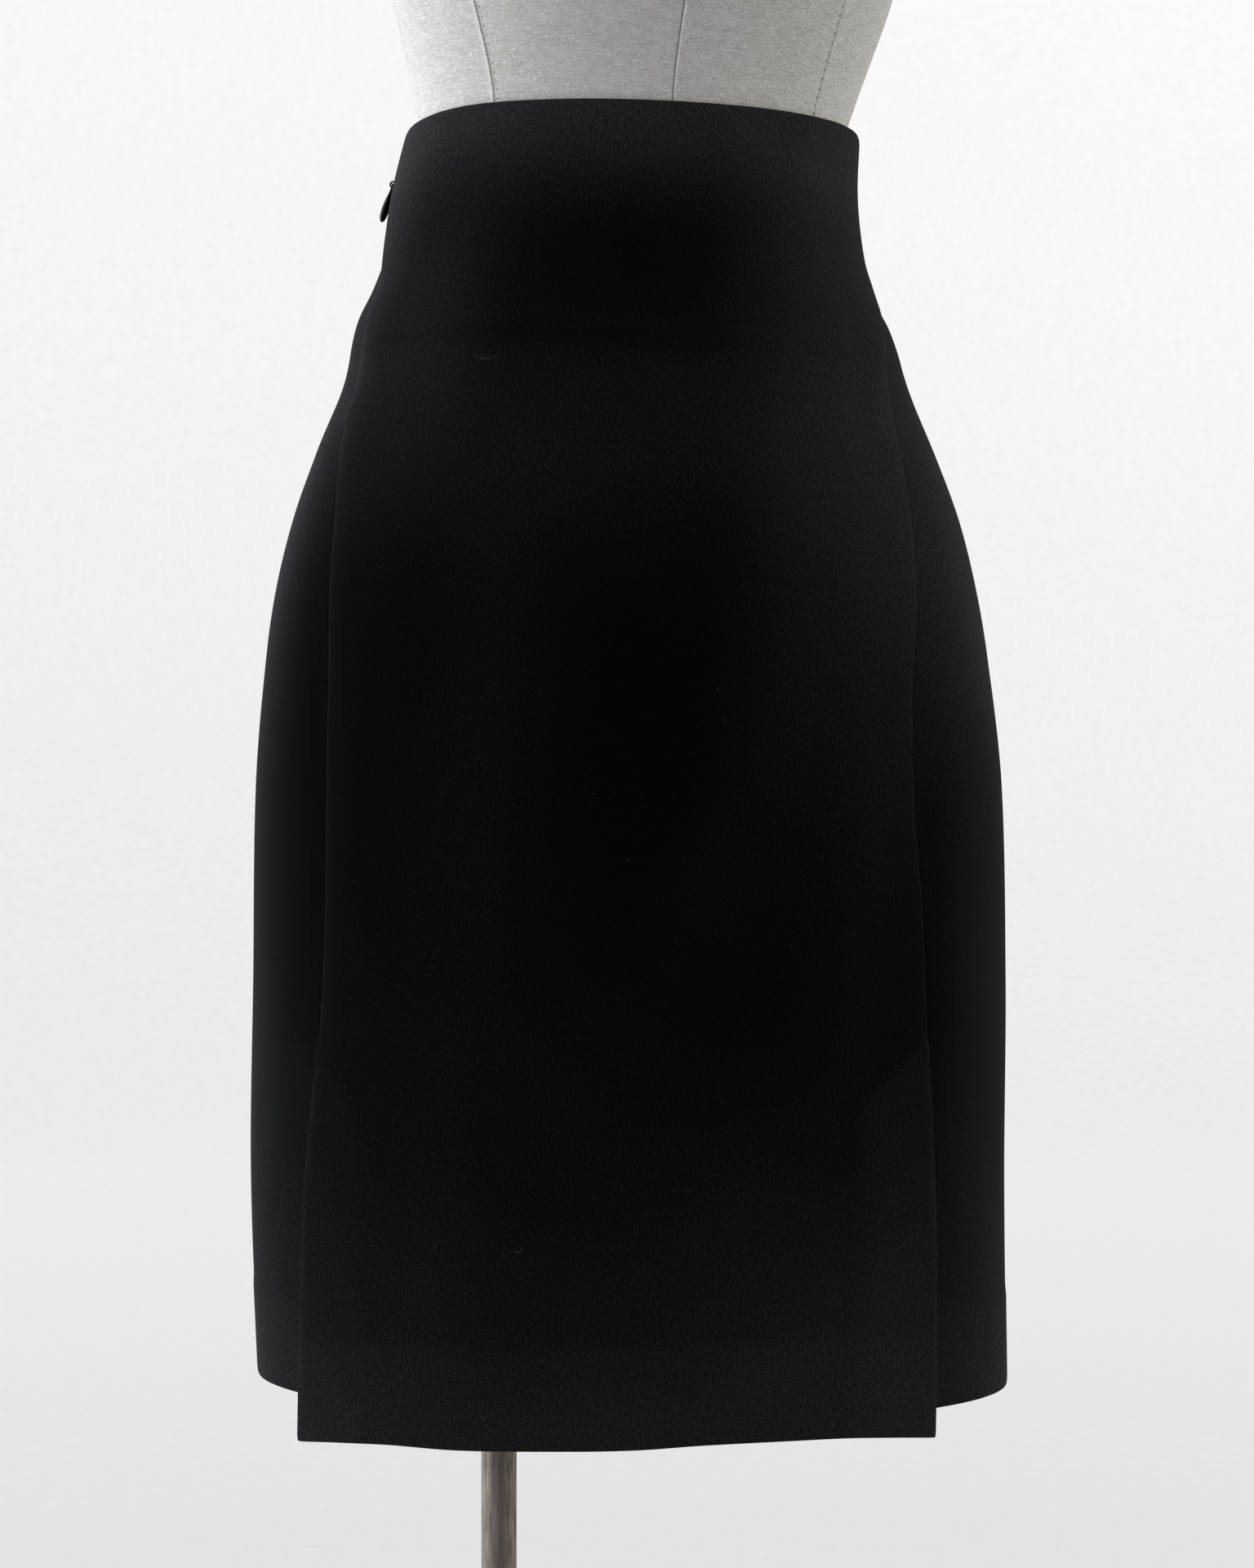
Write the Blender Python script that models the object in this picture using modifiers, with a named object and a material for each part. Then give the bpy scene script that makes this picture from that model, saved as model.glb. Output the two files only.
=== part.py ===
"""Pencil skirt on a dress form.

The skirt is two shaped panels of firm wool around a linen-covered form, which
stands on a round pole and a flat round base. A front panel laps over the back
panel in a vent at each side of the hem. An invisible zip closes the seam at the
wearer's right, and its pull swings on a small loop.

Sizes in the tables are millimetres and degrees. The origin is on the floor, in
the middle of the base, with +Z up and the skirt's front towards -Y.
"""

import math
from collections import namedtuple

import bmesh
import bpy
from mathutils import Matrix, Vector

MM = 0.001

# Fits between pieces. The cloth's flat facets cut inside its curve by up to CHORD.
GAP = 0.3
CLOTH = 1.5
CHORD = 1.0

# Where the skirt's own middle line stands, seen from the pole
SKIRT_AXIS_X = 69.0

# The skirt's top edge
TOP_EDGE = 1067.3
TOP_TILT = 0.4
TOP_CROWN = 0.9

# The hems of both panels, which wave a little round the skirt
Hem = namedtuple("Hem", "angle height")
FRONT_HEM = (
    Hem(-52, 387.4),
    Hem(-44, 389.6),
    Hem(-35, 390.6),
    Hem(-24, 389.4),
    Hem(-12, 389.7),
    Hem(0, 390.7),
    Hem(10, 393.0),
    Hem(22, 394.6),
    Hem(31, 395.0),
    Hem(39, 393.6),
    Hem(46, 391.4),
)
BACK_HEM = (
    Hem(40, 399.2),
    Hem(66, 399.8),
    Hem(85, 400.8),
    Hem(180, 401.5),
    Hem(235, 403.0),
    Hem(262, 405.6),
    Hem(276, 407.0),
    Hem(287, 405.3),
    Hem(297, 403.8),
    Hem(322, 403.4),
)

# The vents at both sides of the front panel
VENT_TOP = 587.0
VENT_END = 390.0
VENT_STEP = 10.0
UNDERLAP = 30.0
FRONT_STANDS_OUT = 14.0
SIDE_TUCKS_IN = 12.0
TUCK_ENDS_AT = 82.0

# Rows and columns of the cloth panels
UPPER_ROWS = 20
LOWER_ROWS = 8
EDGE_COLUMN = 0.012
FRONT_COLUMNS = 22
BACK_COLUMNS = 32

# The skirt's cross-sections. Left and right are half-widths as the viewer of the
# front sees them, and turn is how far the ring is turned with the form.
Ring = namedtuple("Ring", "height left right front back square turn")
SKIRT_RINGS = (
    Ring(1074, 116.8, 127.2, 93, 91, 2.05, 12),
    Ring(1037, 126.1, 125.8, 92, 90, 2.05, 12),
    Ring(1002, 131.7, 128.9, 97, 97, 2.06, 10),
    Ring(984, 136.4, 134.2, 100, 101, 2.07, 8.5),
    Ring(966, 144.1, 141.3, 103, 105, 2.08, 7),
    Ring(931, 152.3, 151.4, 108, 114, 2.10, 5),
    Ring(896, 167.4, 165.6, 112, 122, 2.12, 3),
    Ring(861, 178.9, 178.0, 116, 128, 2.14, 1),
    Ring(826, 187.6, 186.5, 119, 132, 2.16, 0),
    Ring(790, 193.0, 192.7, 122, 135, 2.17, 0),
    Ring(720, 198.8, 200.6, 126, 136, 2.18, 0),
    Ring(615, 200.1, 202.6, 129, 134, 2.15, 0),
    Ring(510, 201.2, 201.9, 131, 131, 2.12, 0),
    Ring(385, 196.6, 203.7, 133, 128, 2.10, 0),
)

# How far round from the centre front the two seams lie
Seam = namedtuple("Seam", "height left right")
SIDE_SEAMS = (
    Seam(1070, 107.0, 100.0),
    Seam(1040, 105.0, 98.0),
    Seam(1010, 97.0, 92.0),
    Seam(985, 82.8, 79.5),
    Seam(960, 77.8, 68.5),
    Seam(930, 73.2, 61.3),
    Seam(900, 66.0, 56.8),
    Seam(860, 57.6, 53.9),
    Seam(820, 53.2, 51.4),
    Seam(770, 50.4, 46.8),
    Seam(715, 49.2, 45.0),
    Seam(650, 49.3, 46.8),
    Seam(585, 50.7, 47.9),
    Seam(500, 52.4, 48.2),
    Seam(385, 52.7, 45.4),
)

# The dress form. Inside the skirt it follows the skirt's rings, this far in.
Inside = namedtuple("Inside", "height clearance")
FORM_INSIDE = (
    Inside(737, 74.0),
    Inside(741, 58.0),
    Inside(750, 45.0),
    Inside(768, 33.0),
    Inside(798, 23.0),
    Inside(835, 15.5),
    Inside(875, 10.5),
    Inside(915, 7.5),
    Inside(960, 5.8),
    Inside(1003, 4.8),
    Inside(1037, 4.2),
)
FORM_TURN = 12
FORM_RINGS = (
    Ring(1066, 115.2, 118.8, 89, 87, 2.05, FORM_TURN),
    Ring(1087, 115.4, 124.6, 92, 87, 2.06, FORM_TURN),
    Ring(1112, 120.4, 133.6, 100, 89, 2.08, FORM_TURN),
    Ring(1140, 127.0, 143.4, 111, 92, 2.10, FORM_TURN),
    Ring(1172, 135.5, 151.0, 122, 95, 2.12, FORM_TURN),
    Ring(1207, 143.5, 157.0, 127, 97, 2.15, FORM_TURN),
    Ring(1250, 148.0, 160.0, 120, 99, 2.18, FORM_TURN),
    Ring(1294, 152.0, 162.0, 106, 98, 2.20, FORM_TURN),
    Ring(1338, 157.0, 166.0, 86, 92, 2.20, FORM_TURN),
    Ring(1372, 161.0, 169.0, 71, 84, 2.20, FORM_TURN),
    Ring(1391, 158.0, 166.0, 63, 78, 2.15, FORM_TURN),
    Ring(1405, 144.0, 152.0, 58, 72, 2.10, FORM_TURN),
    Ring(1420, 118.0, 126.0, 55, 67, 2.05, FORM_TURN),
    Ring(1434, 89.0, 97.0, 53, 63, 2.00, FORM_TURN),
    Ring(1446, 68.0, 76.0, 53, 61, 2.00, FORM_TURN),
    Ring(1459, 58.0, 66.0, 54, 59, 2.00, FORM_TURN),
    Ring(1478, 54.0, 62.0, 52, 57, 2.00, FORM_TURN),
    Ring(1494, 54.0, 62.0, 52, 57, 2.00, FORM_TURN),
    Ring(1501, 50.0, 58.0, 48, 53, 2.00, FORM_TURN),
    Ring(1504, 42.0, 50.0, 40, 45, 2.00, FORM_TURN),
)
FORM_COLUMNS = 36

# The stand
POLE_RADIUS = 9.5
BASE_RADIUS = 190.0
BASE_HEIGHT = 10.0
BASE_EDGE = 4.0
TURNED_STEPS = 48

# Outer sides of the turned pieces, from the top down to their undersides
Turn = namedtuple("Turn", "radius height")
COLLAR_PROFILE = (
    Turn(34.0, 15.0),
    Turn(34.0, 9.0),
    Turn(31.0, 6.8),
    Turn(14.8, 4.5),
    Turn(13.8, 0.0),
)
SOCKET_PROFILE = (
    Turn(12.8, 34.0),
    Turn(13.8, 33.0),
    Turn(13.8, 12.0),
    Turn(22.0, 5.0),
    Turn(24.0, 3.5),
    Turn(24.0, 0.0),
)

# The invisible zip
ZIP_END = 914.0
ZIP_TAPE_WIDTH = 24.0
ZIP_TAPE_THICK = 0.6
ZIP_TAPE_DEPTH = CLOTH + CHORD + GAP
ZIP_TAPE_TOP_GAP = 2.0
ZIP_TAPE_ROWS = 12
ZIP_TAPE_COLUMNS = 4
SLIDER_HEIGHT = 1041.0
SLIDER_SIZE = (4.6, 8.0, 1.2)
SLIDER_BEVEL = 0.35
LOOP_RADIUS = 1.45
LOOP_WIRE = 0.45
LOOP_UP = 1.0
LOOP_SUNK = 0.2
PULL_STANDS_OFF = 6.0
PULL_BAR = 0.45
FORK_THICK = 1.0
FORK_HALF = 1.7
FORK_OPENING = 0.8
FORK_DEPTH = 2.3
FORK_END = 7.0

# Cross-sections of the pull's drop, by their distance below its bar
Section = namedtuple("Section", "below half_width half_thick")
PULL_SECTIONS = (
    Section(3.4, 1.45, 0.40),
    Section(5.0, 1.80, 0.75),
    Section(8.0, 2.15, 1.20),
    Section(11.5, 2.60, 1.55),
    Section(14.5, 2.80, 1.70),
    Section(17.0, 2.65, 1.60),
    Section(18.8, 2.05, 1.20),
    Section(19.7, 1.25, 0.70),
    Section(20.1, 0.45, 0.25),
)
PULL_COLUMNS = 16

Finish = namedtuple("Finish", "colour roughness metallic")
BLACK_WOOL = Finish((0.012, 0.012, 0.013), 0.92, 0.0)
LINEN = Finish((0.60, 0.59, 0.56), 0.90, 0.0)
SATIN_STEEL = Finish((0.56, 0.55, 0.53), 0.32, 1.0)
WHITE_ENAMEL = Finish((0.78, 0.78, 0.77), 0.40, 0.0)
DARK_NICKEL = Finish((0.05, 0.05, 0.055), 0.30, 1.0)
ZIP_POLYESTER = Finish((0.015, 0.015, 0.016), 0.80, 0.0)


def read_column(table, column, place):
    """Value of a table's column at a place in its first column, on a smooth curve."""
    rows = sorted(table)
    last = len(rows) - 1
    places = [row[0] for row in rows]
    values = [getattr(row, column) for row in rows]
    if place <= places[0]:
        return values[0]
    if place >= places[last]:
        return values[last]
    low = max(index for index in range(last) if places[index] <= place)
    high = low + 1
    before, after = max(low - 1, 0), min(high + 1, last)
    span = places[high] - places[low]
    slope_low = (values[high] - values[before]) / (places[high] - places[before])
    slope_high = (values[after] - values[low]) / (places[after] - places[low])
    t = (place - places[low]) / span
    return (
        values[low] * (2 * t**3 - 3 * t**2 + 1)
        + slope_low * span * (t**3 - 2 * t**2 + t)
        + values[high] * (3 * t**2 - 2 * t**3)
        + slope_high * span * (t**3 - t**2)
    )


def ease(value):
    """Soft step from 0 to 1."""
    t = min(max(value, 0.0), 1.0)
    return t * t * (3.0 - 2.0 * t)


def ring_point(ring, angle):
    """Point on a ring, at an angle from the centre front, positive towards +X."""
    sine, cosine = math.sin(math.radians(angle)), math.cos(math.radians(angle))
    wide = ring.right if sine > 0 else ring.left
    deep = ring.front if cosine > 0 else ring.back
    x = math.copysign(wide * abs(sine) ** (2 / ring.square), sine)
    y = -math.copysign(deep * abs(cosine) ** (2 / ring.square), cosine)
    turn = math.radians(ring.turn)
    return Vector((
        SKIRT_AXIS_X + x * math.cos(turn) - y * math.sin(turn),
        x * math.sin(turn) + y * math.cos(turn),
        ring.height,
    ))


def skirt_surface(height, angle):
    """Point on the skirt's outer face before the vents open."""
    columns = ("left", "right", "front", "back", "square", "turn")
    values = [read_column(SKIRT_RINGS, column, height) for column in columns]
    return ring_point(Ring(height, *values), angle)


def skirt_directions(height, angle):
    """Directions along the ring, up the cloth and out of it."""
    along = skirt_surface(height, angle + 0.5) - skirt_surface(height, angle - 0.5)
    upward = skirt_surface(height + 1.0, angle) - skirt_surface(height - 1.0, angle)
    outward = along.cross(upward).normalized()
    return along.normalized(), upward.normalized(), outward


def degrees_for(height, angle, distance):
    """Angle that a distance along the ring takes."""
    step = skirt_surface(height, angle + 0.5) - skirt_surface(height, angle - 0.5)
    return distance / step.length


def cloth_point(height, angle, outward):
    """Point on the skirt's face, moved out of it by a distance."""
    return skirt_surface(height, angle) + skirt_directions(height, angle)[2] * outward


def top_height(angle):
    """Height of the skirt's top edge, which tilts to one side and rises at the front."""
    turn = math.radians(angle)
    return TOP_EDGE + TOP_TILT * math.sin(turn) + TOP_CROWN * math.cos(turn)


def vent_share(height):
    """How far down the vent a height lies, from 0 at its top to 1 at the hem."""
    return min(max((VENT_TOP - height) / (VENT_TOP - VENT_END), 0.0), 1.0)


def seam_angle(height, side):
    """Angle of a side seam: side is -1 on the viewer's left and 1 on the right."""
    column = "right" if side > 0 else "left"
    return side * read_column(SIDE_SEAMS, column, height)


def front_limits(height):
    """Angles of the front panel's two edges."""
    limits = []
    for side in (-1, 1):
        seam = seam_angle(height, side)
        limits.append(seam - side * degrees_for(height, seam, GAP / 2))
    return limits


def back_limits(height):
    """Angles of the back panel's two edges, from the right seam round the back."""
    below = max(VENT_TOP - VENT_STEP - height, 0.0)
    lap = min(below, UNDERLAP)
    limits = []
    for side in (1, -1):
        seam = seam_angle(height, side)
        angle = seam + side * degrees_for(height, seam, GAP / 2 - lap)
        limits.append(angle % 360.0)
    return limits


def front_outward(height, angle):
    """How far the front panel's free part stands out beside the vents."""
    seam = abs(seam_angle(height, 1 if angle > 0 else -1))
    share = ease(1.15 * abs(angle) / seam - 0.15)
    return FRONT_STANDS_OUT * vent_share(height) * share


def back_outward(height, angle):
    """How far the back panel tucks in under the front, below the vent tops."""
    side = 1 if angle < 180 else -1
    from_front = angle if side > 0 else 360 - angle
    seam = abs(seam_angle(height, side))
    share = ease((TUCK_ENDS_AT - from_front) / (TUCK_ENDS_AT - seam))
    return -SIDE_TUCKS_IN * vent_share(height) ** 0.6 * share


def panel_rows(top, hem):
    """Heights of a panel's rows: even above the vents and below their first step."""
    step = (top - VENT_TOP) / UPPER_ROWS
    rows = [top - index * step for index in range(UPPER_ROWS + 1)]
    start = VENT_TOP - VENT_STEP
    step = (start - hem) / LOWER_ROWS
    return rows + [start - index * step for index in range(LOWER_ROWS + 1)]


def panel_columns(count):
    """Shares across a panel, with a narrow column at each edge."""
    middle = [index / (count - 2) for index in range(count - 1)]
    inner = [EDGE_COLUMN + share * (1 - 2 * EDGE_COLUMN) for share in middle]
    return [0.0] + inner + [1.0]


def panel_grid(count, limits, outward, hem):
    """Rows of points over a panel's outer face, from the top edge to the hem."""
    grid = []
    for row in range(UPPER_ROWS + LOWER_ROWS + 2):
        points = []
        for share in panel_columns(count):
            middle_height = panel_rows(TOP_EDGE, hem(0.0))[row]
            start, end = limits(middle_height)
            angle = start + share * (end - start)
            height = panel_rows(top_height(angle), hem(angle))[row]
            start, end = limits(height)
            angle = start + share * (end - start)
            points.append(cloth_point(height, angle, outward(height, angle)))
        grid.append(points)
    return grid


def front_hem_height(angle):
    """Height of the front panel's hem."""
    return read_column(FRONT_HEM, "height", angle)


def back_hem_height(angle):
    """Height of the back panel's hem."""
    return read_column(BACK_HEM, "height", angle)


def clear_scene():
    """Remove the scene's objects and collections."""
    for old in list(bpy.data.objects):
        bpy.data.objects.remove(old, do_unlink=True)
    for old in list(bpy.data.collections):
        bpy.data.collections.remove(old)


def new_collection(name):
    """Collection linked to the scene."""
    collection = bpy.data.collections.new(name)
    bpy.context.scene.collection.children.link(collection)
    return collection


def new_material(name, finish):
    """Principled material with a finish's colour, roughness and metallic value."""
    material = bpy.data.materials.new(name)
    material.use_nodes = True
    shader = material.node_tree.nodes["Principled BSDF"]
    shader.inputs["Base Color"].default_value = (*finish.colour, 1.0)
    shader.inputs["Roughness"].default_value = finish.roughness
    shader.inputs["Metallic"].default_value = finish.metallic
    return material


def finish_object(obj, collection, finish, smooth_below=40.0):
    """Put an object in its collection, with its own material and smooth shading."""
    for old in list(obj.users_collection):
        old.objects.unlink(obj)
    collection.objects.link(obj)
    obj.data.materials.clear()
    obj.data.materials.append(new_material(obj.name, finish))
    obj.data.shade_smooth()
    obj.data.set_sharp_from_angle(angle=math.radians(smooth_below))
    return obj


def mesh_object(name, mesh_data):
    """New object from a bmesh, linked to the scene."""
    mesh = bpy.data.meshes.new(name)
    mesh_data.to_mesh(mesh)
    mesh_data.free()
    obj = bpy.data.objects.new(name, mesh)
    bpy.context.scene.collection.objects.link(obj)
    return obj


def loft(name, rows, closed, capped):
    """Surface through rows of points, with its faces pointing out."""
    mesh_data = bmesh.new()
    rings = [[mesh_data.verts.new(point * MM) for point in row] for row in rows]
    count = len(rows[0])
    for upper, lower in zip(rings, rings[1:]):
        for index in range(count if closed else count - 1):
            after = (index + 1) % count
            mesh_data.faces.new((upper[index], lower[index], lower[after], upper[after]))
    if capped:
        mesh_data.faces.new(rings[0])
        mesh_data.faces.new(reversed(rings[-1]))
    return mesh_object(name, mesh_data)


def thicken(obj, thickness):
    """Give an open surface a wall that grows inward."""
    wall = obj.modifiers.new("Wall", "SOLIDIFY")
    wall.thickness = thickness * MM
    wall.offset = -1.0
    wall.use_even_offset = True


def turned(name, profile, place):
    """Turned piece: its profile runs down the outer side, from top to bottom."""
    mesh_data = bmesh.new()
    corners = [mesh_data.verts.new((radius * MM, 0, height * MM)) for radius, height in profile]
    for first, second in zip(corners, corners[1:]):
        mesh_data.edges.new((first, second))
    if profile[0][0] > 0:
        mesh_data.edges.new((corners[-1], corners[0]))
    obj = mesh_object(name, mesh_data)
    obj.location = Vector(place) * MM
    screw = obj.modifiers.new("Turn", "SCREW")
    screw.steps = TURNED_STEPS
    screw.render_steps = TURNED_STEPS
    screw.use_merge_vertices = True
    screw.merge_threshold = 0.00001
    return obj


def bored(profile):
    """Outer side of a turned piece with the pole's hole through it."""
    bore = POLE_RADIUS + GAP
    return list(profile) + [(bore, profile[-1].height), (bore, profile[0].height)]


def join_with(obj, tool, cutters):
    """Union a second shape into an object."""
    for old in list(tool.users_collection):
        old.objects.unlink(tool)
    cutters.objects.link(tool)
    tool.hide_render = True
    tool.display_type = "WIRE"
    union = obj.modifiers.new("Join " + tool.name, "BOOLEAN")
    union.operation = "UNION"
    union.solver = "EXACT"
    union.object = tool


def build_front_panel(parts):
    """Front panel: wide at the waist, free of the back panel below the vents."""
    grid = panel_grid(FRONT_COLUMNS, front_limits, front_outward, front_hem_height)
    panel = loft("front_panel", grid, closed=False, capped=False)
    thicken(panel, CLOTH)
    return finish_object(panel, parts, BLACK_WOOL)


def build_back_panel(parts):
    """Back panel: round both hips and under the front panel at the vents."""
    grid = panel_grid(BACK_COLUMNS, back_limits, back_outward, back_hem_height)
    panel = loft("back_panel", grid, closed=False, capped=False)
    thicken(panel, CLOTH)
    return finish_object(panel, parts, BLACK_WOOL)


def build_zip_tape(parts):
    """Zip tape behind the seam at the wearer's right."""
    grid = []
    for row in range(ZIP_TAPE_ROWS + 1):
        share = row / ZIP_TAPE_ROWS
        seam = seam_angle(TOP_EDGE, -1)
        start = top_height(seam) - ZIP_TAPE_TOP_GAP
        height = start + share * (ZIP_END - start)
        seam = seam_angle(height, -1)
        points = []
        for column in range(ZIP_TAPE_COLUMNS + 1):
            across = ZIP_TAPE_WIDTH * (column / ZIP_TAPE_COLUMNS - 0.5)
            angle = seam + degrees_for(height, seam, across)
            points.append(cloth_point(height, angle, -ZIP_TAPE_DEPTH))
        grid.append(points)
    tape = loft("zip_tape", grid, closed=False, capped=False)
    thicken(tape, ZIP_TAPE_THICK)
    return finish_object(tape, parts, ZIP_POLYESTER)


def slider_frame():
    """Place of the slider: X along the ring, Y up the seam, Z out of the cloth."""
    angle = seam_angle(SLIDER_HEIGHT, -1)
    along, upward, outward = skirt_directions(SLIDER_HEIGHT, angle)
    place = cloth_point(SLIDER_HEIGHT, angle, GAP) * MM
    turn = Matrix((along, outward.cross(along), outward)).transposed()
    return Matrix.Translation(place) @ turn.to_4x4()


def loop_centre():
    """Centre of the slider's loop in the slider's frame, which is the pull's axis."""
    return Vector((0.0, LOOP_UP, SLIDER_SIZE[2] + LOOP_RADIUS - LOOP_SUNK))


def build_zip_slider(parts, cutters):
    """Slider: a rounded plate on the seam with a standing loop."""
    frame = slider_frame()
    bpy.ops.mesh.primitive_cube_add(size=1.0)
    slider = bpy.context.active_object
    slider.name = "zip_slider"
    slider.data.transform(Matrix.Diagonal((*(Vector(SLIDER_SIZE) * MM), 1.0)))
    slider.data.transform(Matrix.Translation((0, 0, SLIDER_SIZE[2] * MM / 2)))
    slider.matrix_world = frame
    bevel = slider.modifiers.new("Soft edges", "BEVEL")
    bevel.width = SLIDER_BEVEL * MM
    bevel.segments = 2
    bpy.ops.mesh.primitive_torus_add(
        major_radius=LOOP_RADIUS * MM,
        minor_radius=LOOP_WIRE * MM,
        major_segments=20,
        minor_segments=8,
    )
    loop = bpy.context.active_object
    loop.name = "slider_loop"
    on_edge = Matrix.Rotation(math.radians(90), 4, "Y")
    loop.matrix_world = frame @ Matrix.Translation(loop_centre() * MM) @ on_edge
    join_with(slider, loop, cutters)
    return finish_object(slider, parts, DARK_NICKEL)


def fork_outline():
    """Outline of the pull's fork in its own plane, from its opening down into the drop."""
    left = [
        (-FORK_OPENING, -FORK_DEPTH),
        (-FORK_OPENING, PULL_BAR / 2),
        (-FORK_HALF, PULL_BAR / 2),
        (-FORK_HALF, -FORK_END),
    ]
    return left + [(-x, y) for x, y in reversed(left)]


def pull_drop():
    """Drop-shaped body of the pull."""
    turns = [math.tau * index / PULL_COLUMNS for index in range(PULL_COLUMNS)]
    rows = [
        [
            Vector((
                section.half_width * math.cos(turn),
                -section.below,
                section.half_thick * math.sin(turn),
            ))
            for turn in turns
        ]
        for section in PULL_SECTIONS
    ]
    return loft("pull_drop", rows, closed=True, capped=True)


def build_zip_pull(parts, cutters):
    """Pull: a drop on a fork, which swings on a bar through the slider's loop."""
    curve = bpy.data.curves.new("pull_fork", "CURVE")
    curve.dimensions = "2D"
    curve.fill_mode = "BOTH"
    curve.extrude = FORK_THICK / 2 * MM
    outline = fork_outline()
    spline = curve.splines.new("POLY")
    spline.points.add(len(outline) - 1)
    for point, (x, y) in zip(spline.points, outline):
        point.co = (x * MM, y * MM, 0.0, 1.0)
    spline.use_cyclic_u = True
    flat = bpy.data.objects.new("pull_fork", curve)
    bpy.context.scene.collection.objects.link(flat)
    bpy.context.view_layer.update()
    evaluated = flat.evaluated_get(bpy.context.evaluated_depsgraph_get())
    mesh = bpy.data.meshes.new_from_object(evaluated)
    bpy.data.objects.remove(flat, do_unlink=True)
    mesh_data = bmesh.new()
    mesh_data.from_mesh(mesh)
    bmesh.ops.remove_doubles(mesh_data, verts=mesh_data.verts, dist=0.000001)
    bmesh.ops.recalc_face_normals(mesh_data, faces=mesh_data.faces)
    pull = mesh_object("zip_pull", mesh_data)
    swing = Matrix.Rotation(math.radians(-PULL_STANDS_OFF), 4, "X")
    pull.matrix_world = slider_frame() @ Matrix.Translation(loop_centre() * MM) @ swing
    drop = pull_drop()
    drop.matrix_world = pull.matrix_world
    join_with(pull, drop, cutters)
    bpy.ops.mesh.primitive_cylinder_add(
        vertices=16,
        radius=PULL_BAR * MM,
        depth=(FORK_HALF + FORK_OPENING) * MM,
    )
    bar = bpy.context.active_object
    bar.name = "pull_bar"
    bar.matrix_world = pull.matrix_world @ Matrix.Rotation(math.radians(90), 4, "Y")
    join_with(pull, bar, cutters)
    return finish_object(pull, parts, DARK_NICKEL)


def build_form(parts):
    """Dress form: closed body from the neck to just below the hips."""
    angles = [360.0 * index / FORM_COLUMNS for index in range(FORM_COLUMNS)]
    rows = [[ring_point(ring, angle) for angle in angles] for ring in reversed(FORM_RINGS)]
    for row in reversed(FORM_INSIDE):
        rows.append([cloth_point(row.height, angle, -row.clearance) for angle in angles])
    for ring, row in zip(rows[len(FORM_RINGS):], reversed(FORM_INSIDE)):
        for point in ring:
            point.z = row.height
    form = loft("form_body", rows, closed=True, capped=True)
    return finish_object(form, parts, LINEN, smooth_below=60.0)


def build_stand(parts):
    """Pole, its collar under the form, and the base with its socket."""
    form_underside = FORM_INSIDE[0].height
    collar_top = form_underside - GAP
    collar_height = COLLAR_PROFILE[0].height
    collar = turned("form_collar", bored(COLLAR_PROFILE), (0, 0, collar_top - collar_height))
    finish_object(collar, parts, SATIN_STEEL)
    pole_bottom = BASE_HEIGHT + GAP
    pole_length = collar_top - pole_bottom
    bpy.ops.mesh.primitive_cylinder_add(
        vertices=32,
        radius=POLE_RADIUS * MM,
        depth=pole_length * MM,
        location=(0, 0, (pole_bottom + pole_length / 2) * MM),
    )
    pole = bpy.context.active_object
    pole.name = "pole"
    finish_object(pole, parts, SATIN_STEEL)
    socket = turned("base_socket", bored(SOCKET_PROFILE), (0, 0, pole_bottom))
    finish_object(socket, parts, SATIN_STEEL)
    rim = [math.radians(degree) for degree in (90, 67.5, 45, 22.5, 0)]
    centre = BASE_RADIUS - BASE_EDGE
    edge = [
        (centre + BASE_EDGE * math.cos(a), BASE_HEIGHT - BASE_EDGE * (1 - math.sin(a)))
        for a in rim
    ]
    base = turned(
        "base_plate",
        [(0.0, BASE_HEIGHT)] + edge + [(BASE_RADIUS, 1.0), (BASE_RADIUS - 1.0, 0.0), (0.0, 0.0)],
        (0, 0, 0),
    )
    finish_object(base, parts, WHITE_ENAMEL)


def main():
    """Build every piece of the skirt, the form and its stand."""
    clear_scene()
    parts = new_collection("pencil_skirt_on_form")
    cutters = new_collection("cutters")
    build_front_panel(parts)
    build_back_panel(parts)
    build_zip_tape(parts)
    build_zip_slider(parts, cutters)
    build_zip_pull(parts, cutters)
    build_form(parts)
    build_stand(parts)


main()
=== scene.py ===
"""The looks of a black wool pencil skirt on a linen-covered dress form.

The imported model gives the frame. Every visible surface is built here as a finer
mesh on the same sections: the two skirt panels with their seams, hems and vents,
the sewn linen cover of the form, the turned stand and the zip.

Sizes are millimetres and degrees until a mesh is written, which is in metres.
"""

import logging
import math
from dataclasses import dataclass, field
from enum import Enum
from typing import Callable, Iterable, Sequence

import bpy
import numpy as np
from mathutils import Matrix, Vector

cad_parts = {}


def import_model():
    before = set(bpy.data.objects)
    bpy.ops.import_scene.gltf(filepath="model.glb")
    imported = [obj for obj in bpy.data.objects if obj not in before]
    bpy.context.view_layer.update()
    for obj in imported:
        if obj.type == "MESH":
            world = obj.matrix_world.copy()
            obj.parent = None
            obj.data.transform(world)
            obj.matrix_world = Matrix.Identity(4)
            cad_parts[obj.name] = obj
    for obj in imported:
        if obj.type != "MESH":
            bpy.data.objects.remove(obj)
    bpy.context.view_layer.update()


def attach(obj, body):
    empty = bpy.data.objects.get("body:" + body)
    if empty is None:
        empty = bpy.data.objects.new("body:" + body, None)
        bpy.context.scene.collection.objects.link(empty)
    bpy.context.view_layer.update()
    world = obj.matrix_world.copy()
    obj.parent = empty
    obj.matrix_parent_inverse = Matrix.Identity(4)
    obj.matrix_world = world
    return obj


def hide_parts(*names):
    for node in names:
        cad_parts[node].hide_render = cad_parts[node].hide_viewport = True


LOG = logging.getLogger("skirt")
MM = 0.001

BODY = "skirt_and_form"
PULL_BODY = "zip_pull"

# The skirt's own middle line, seen from the pole
SKIRT_AXIS_X = 69.0

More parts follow.
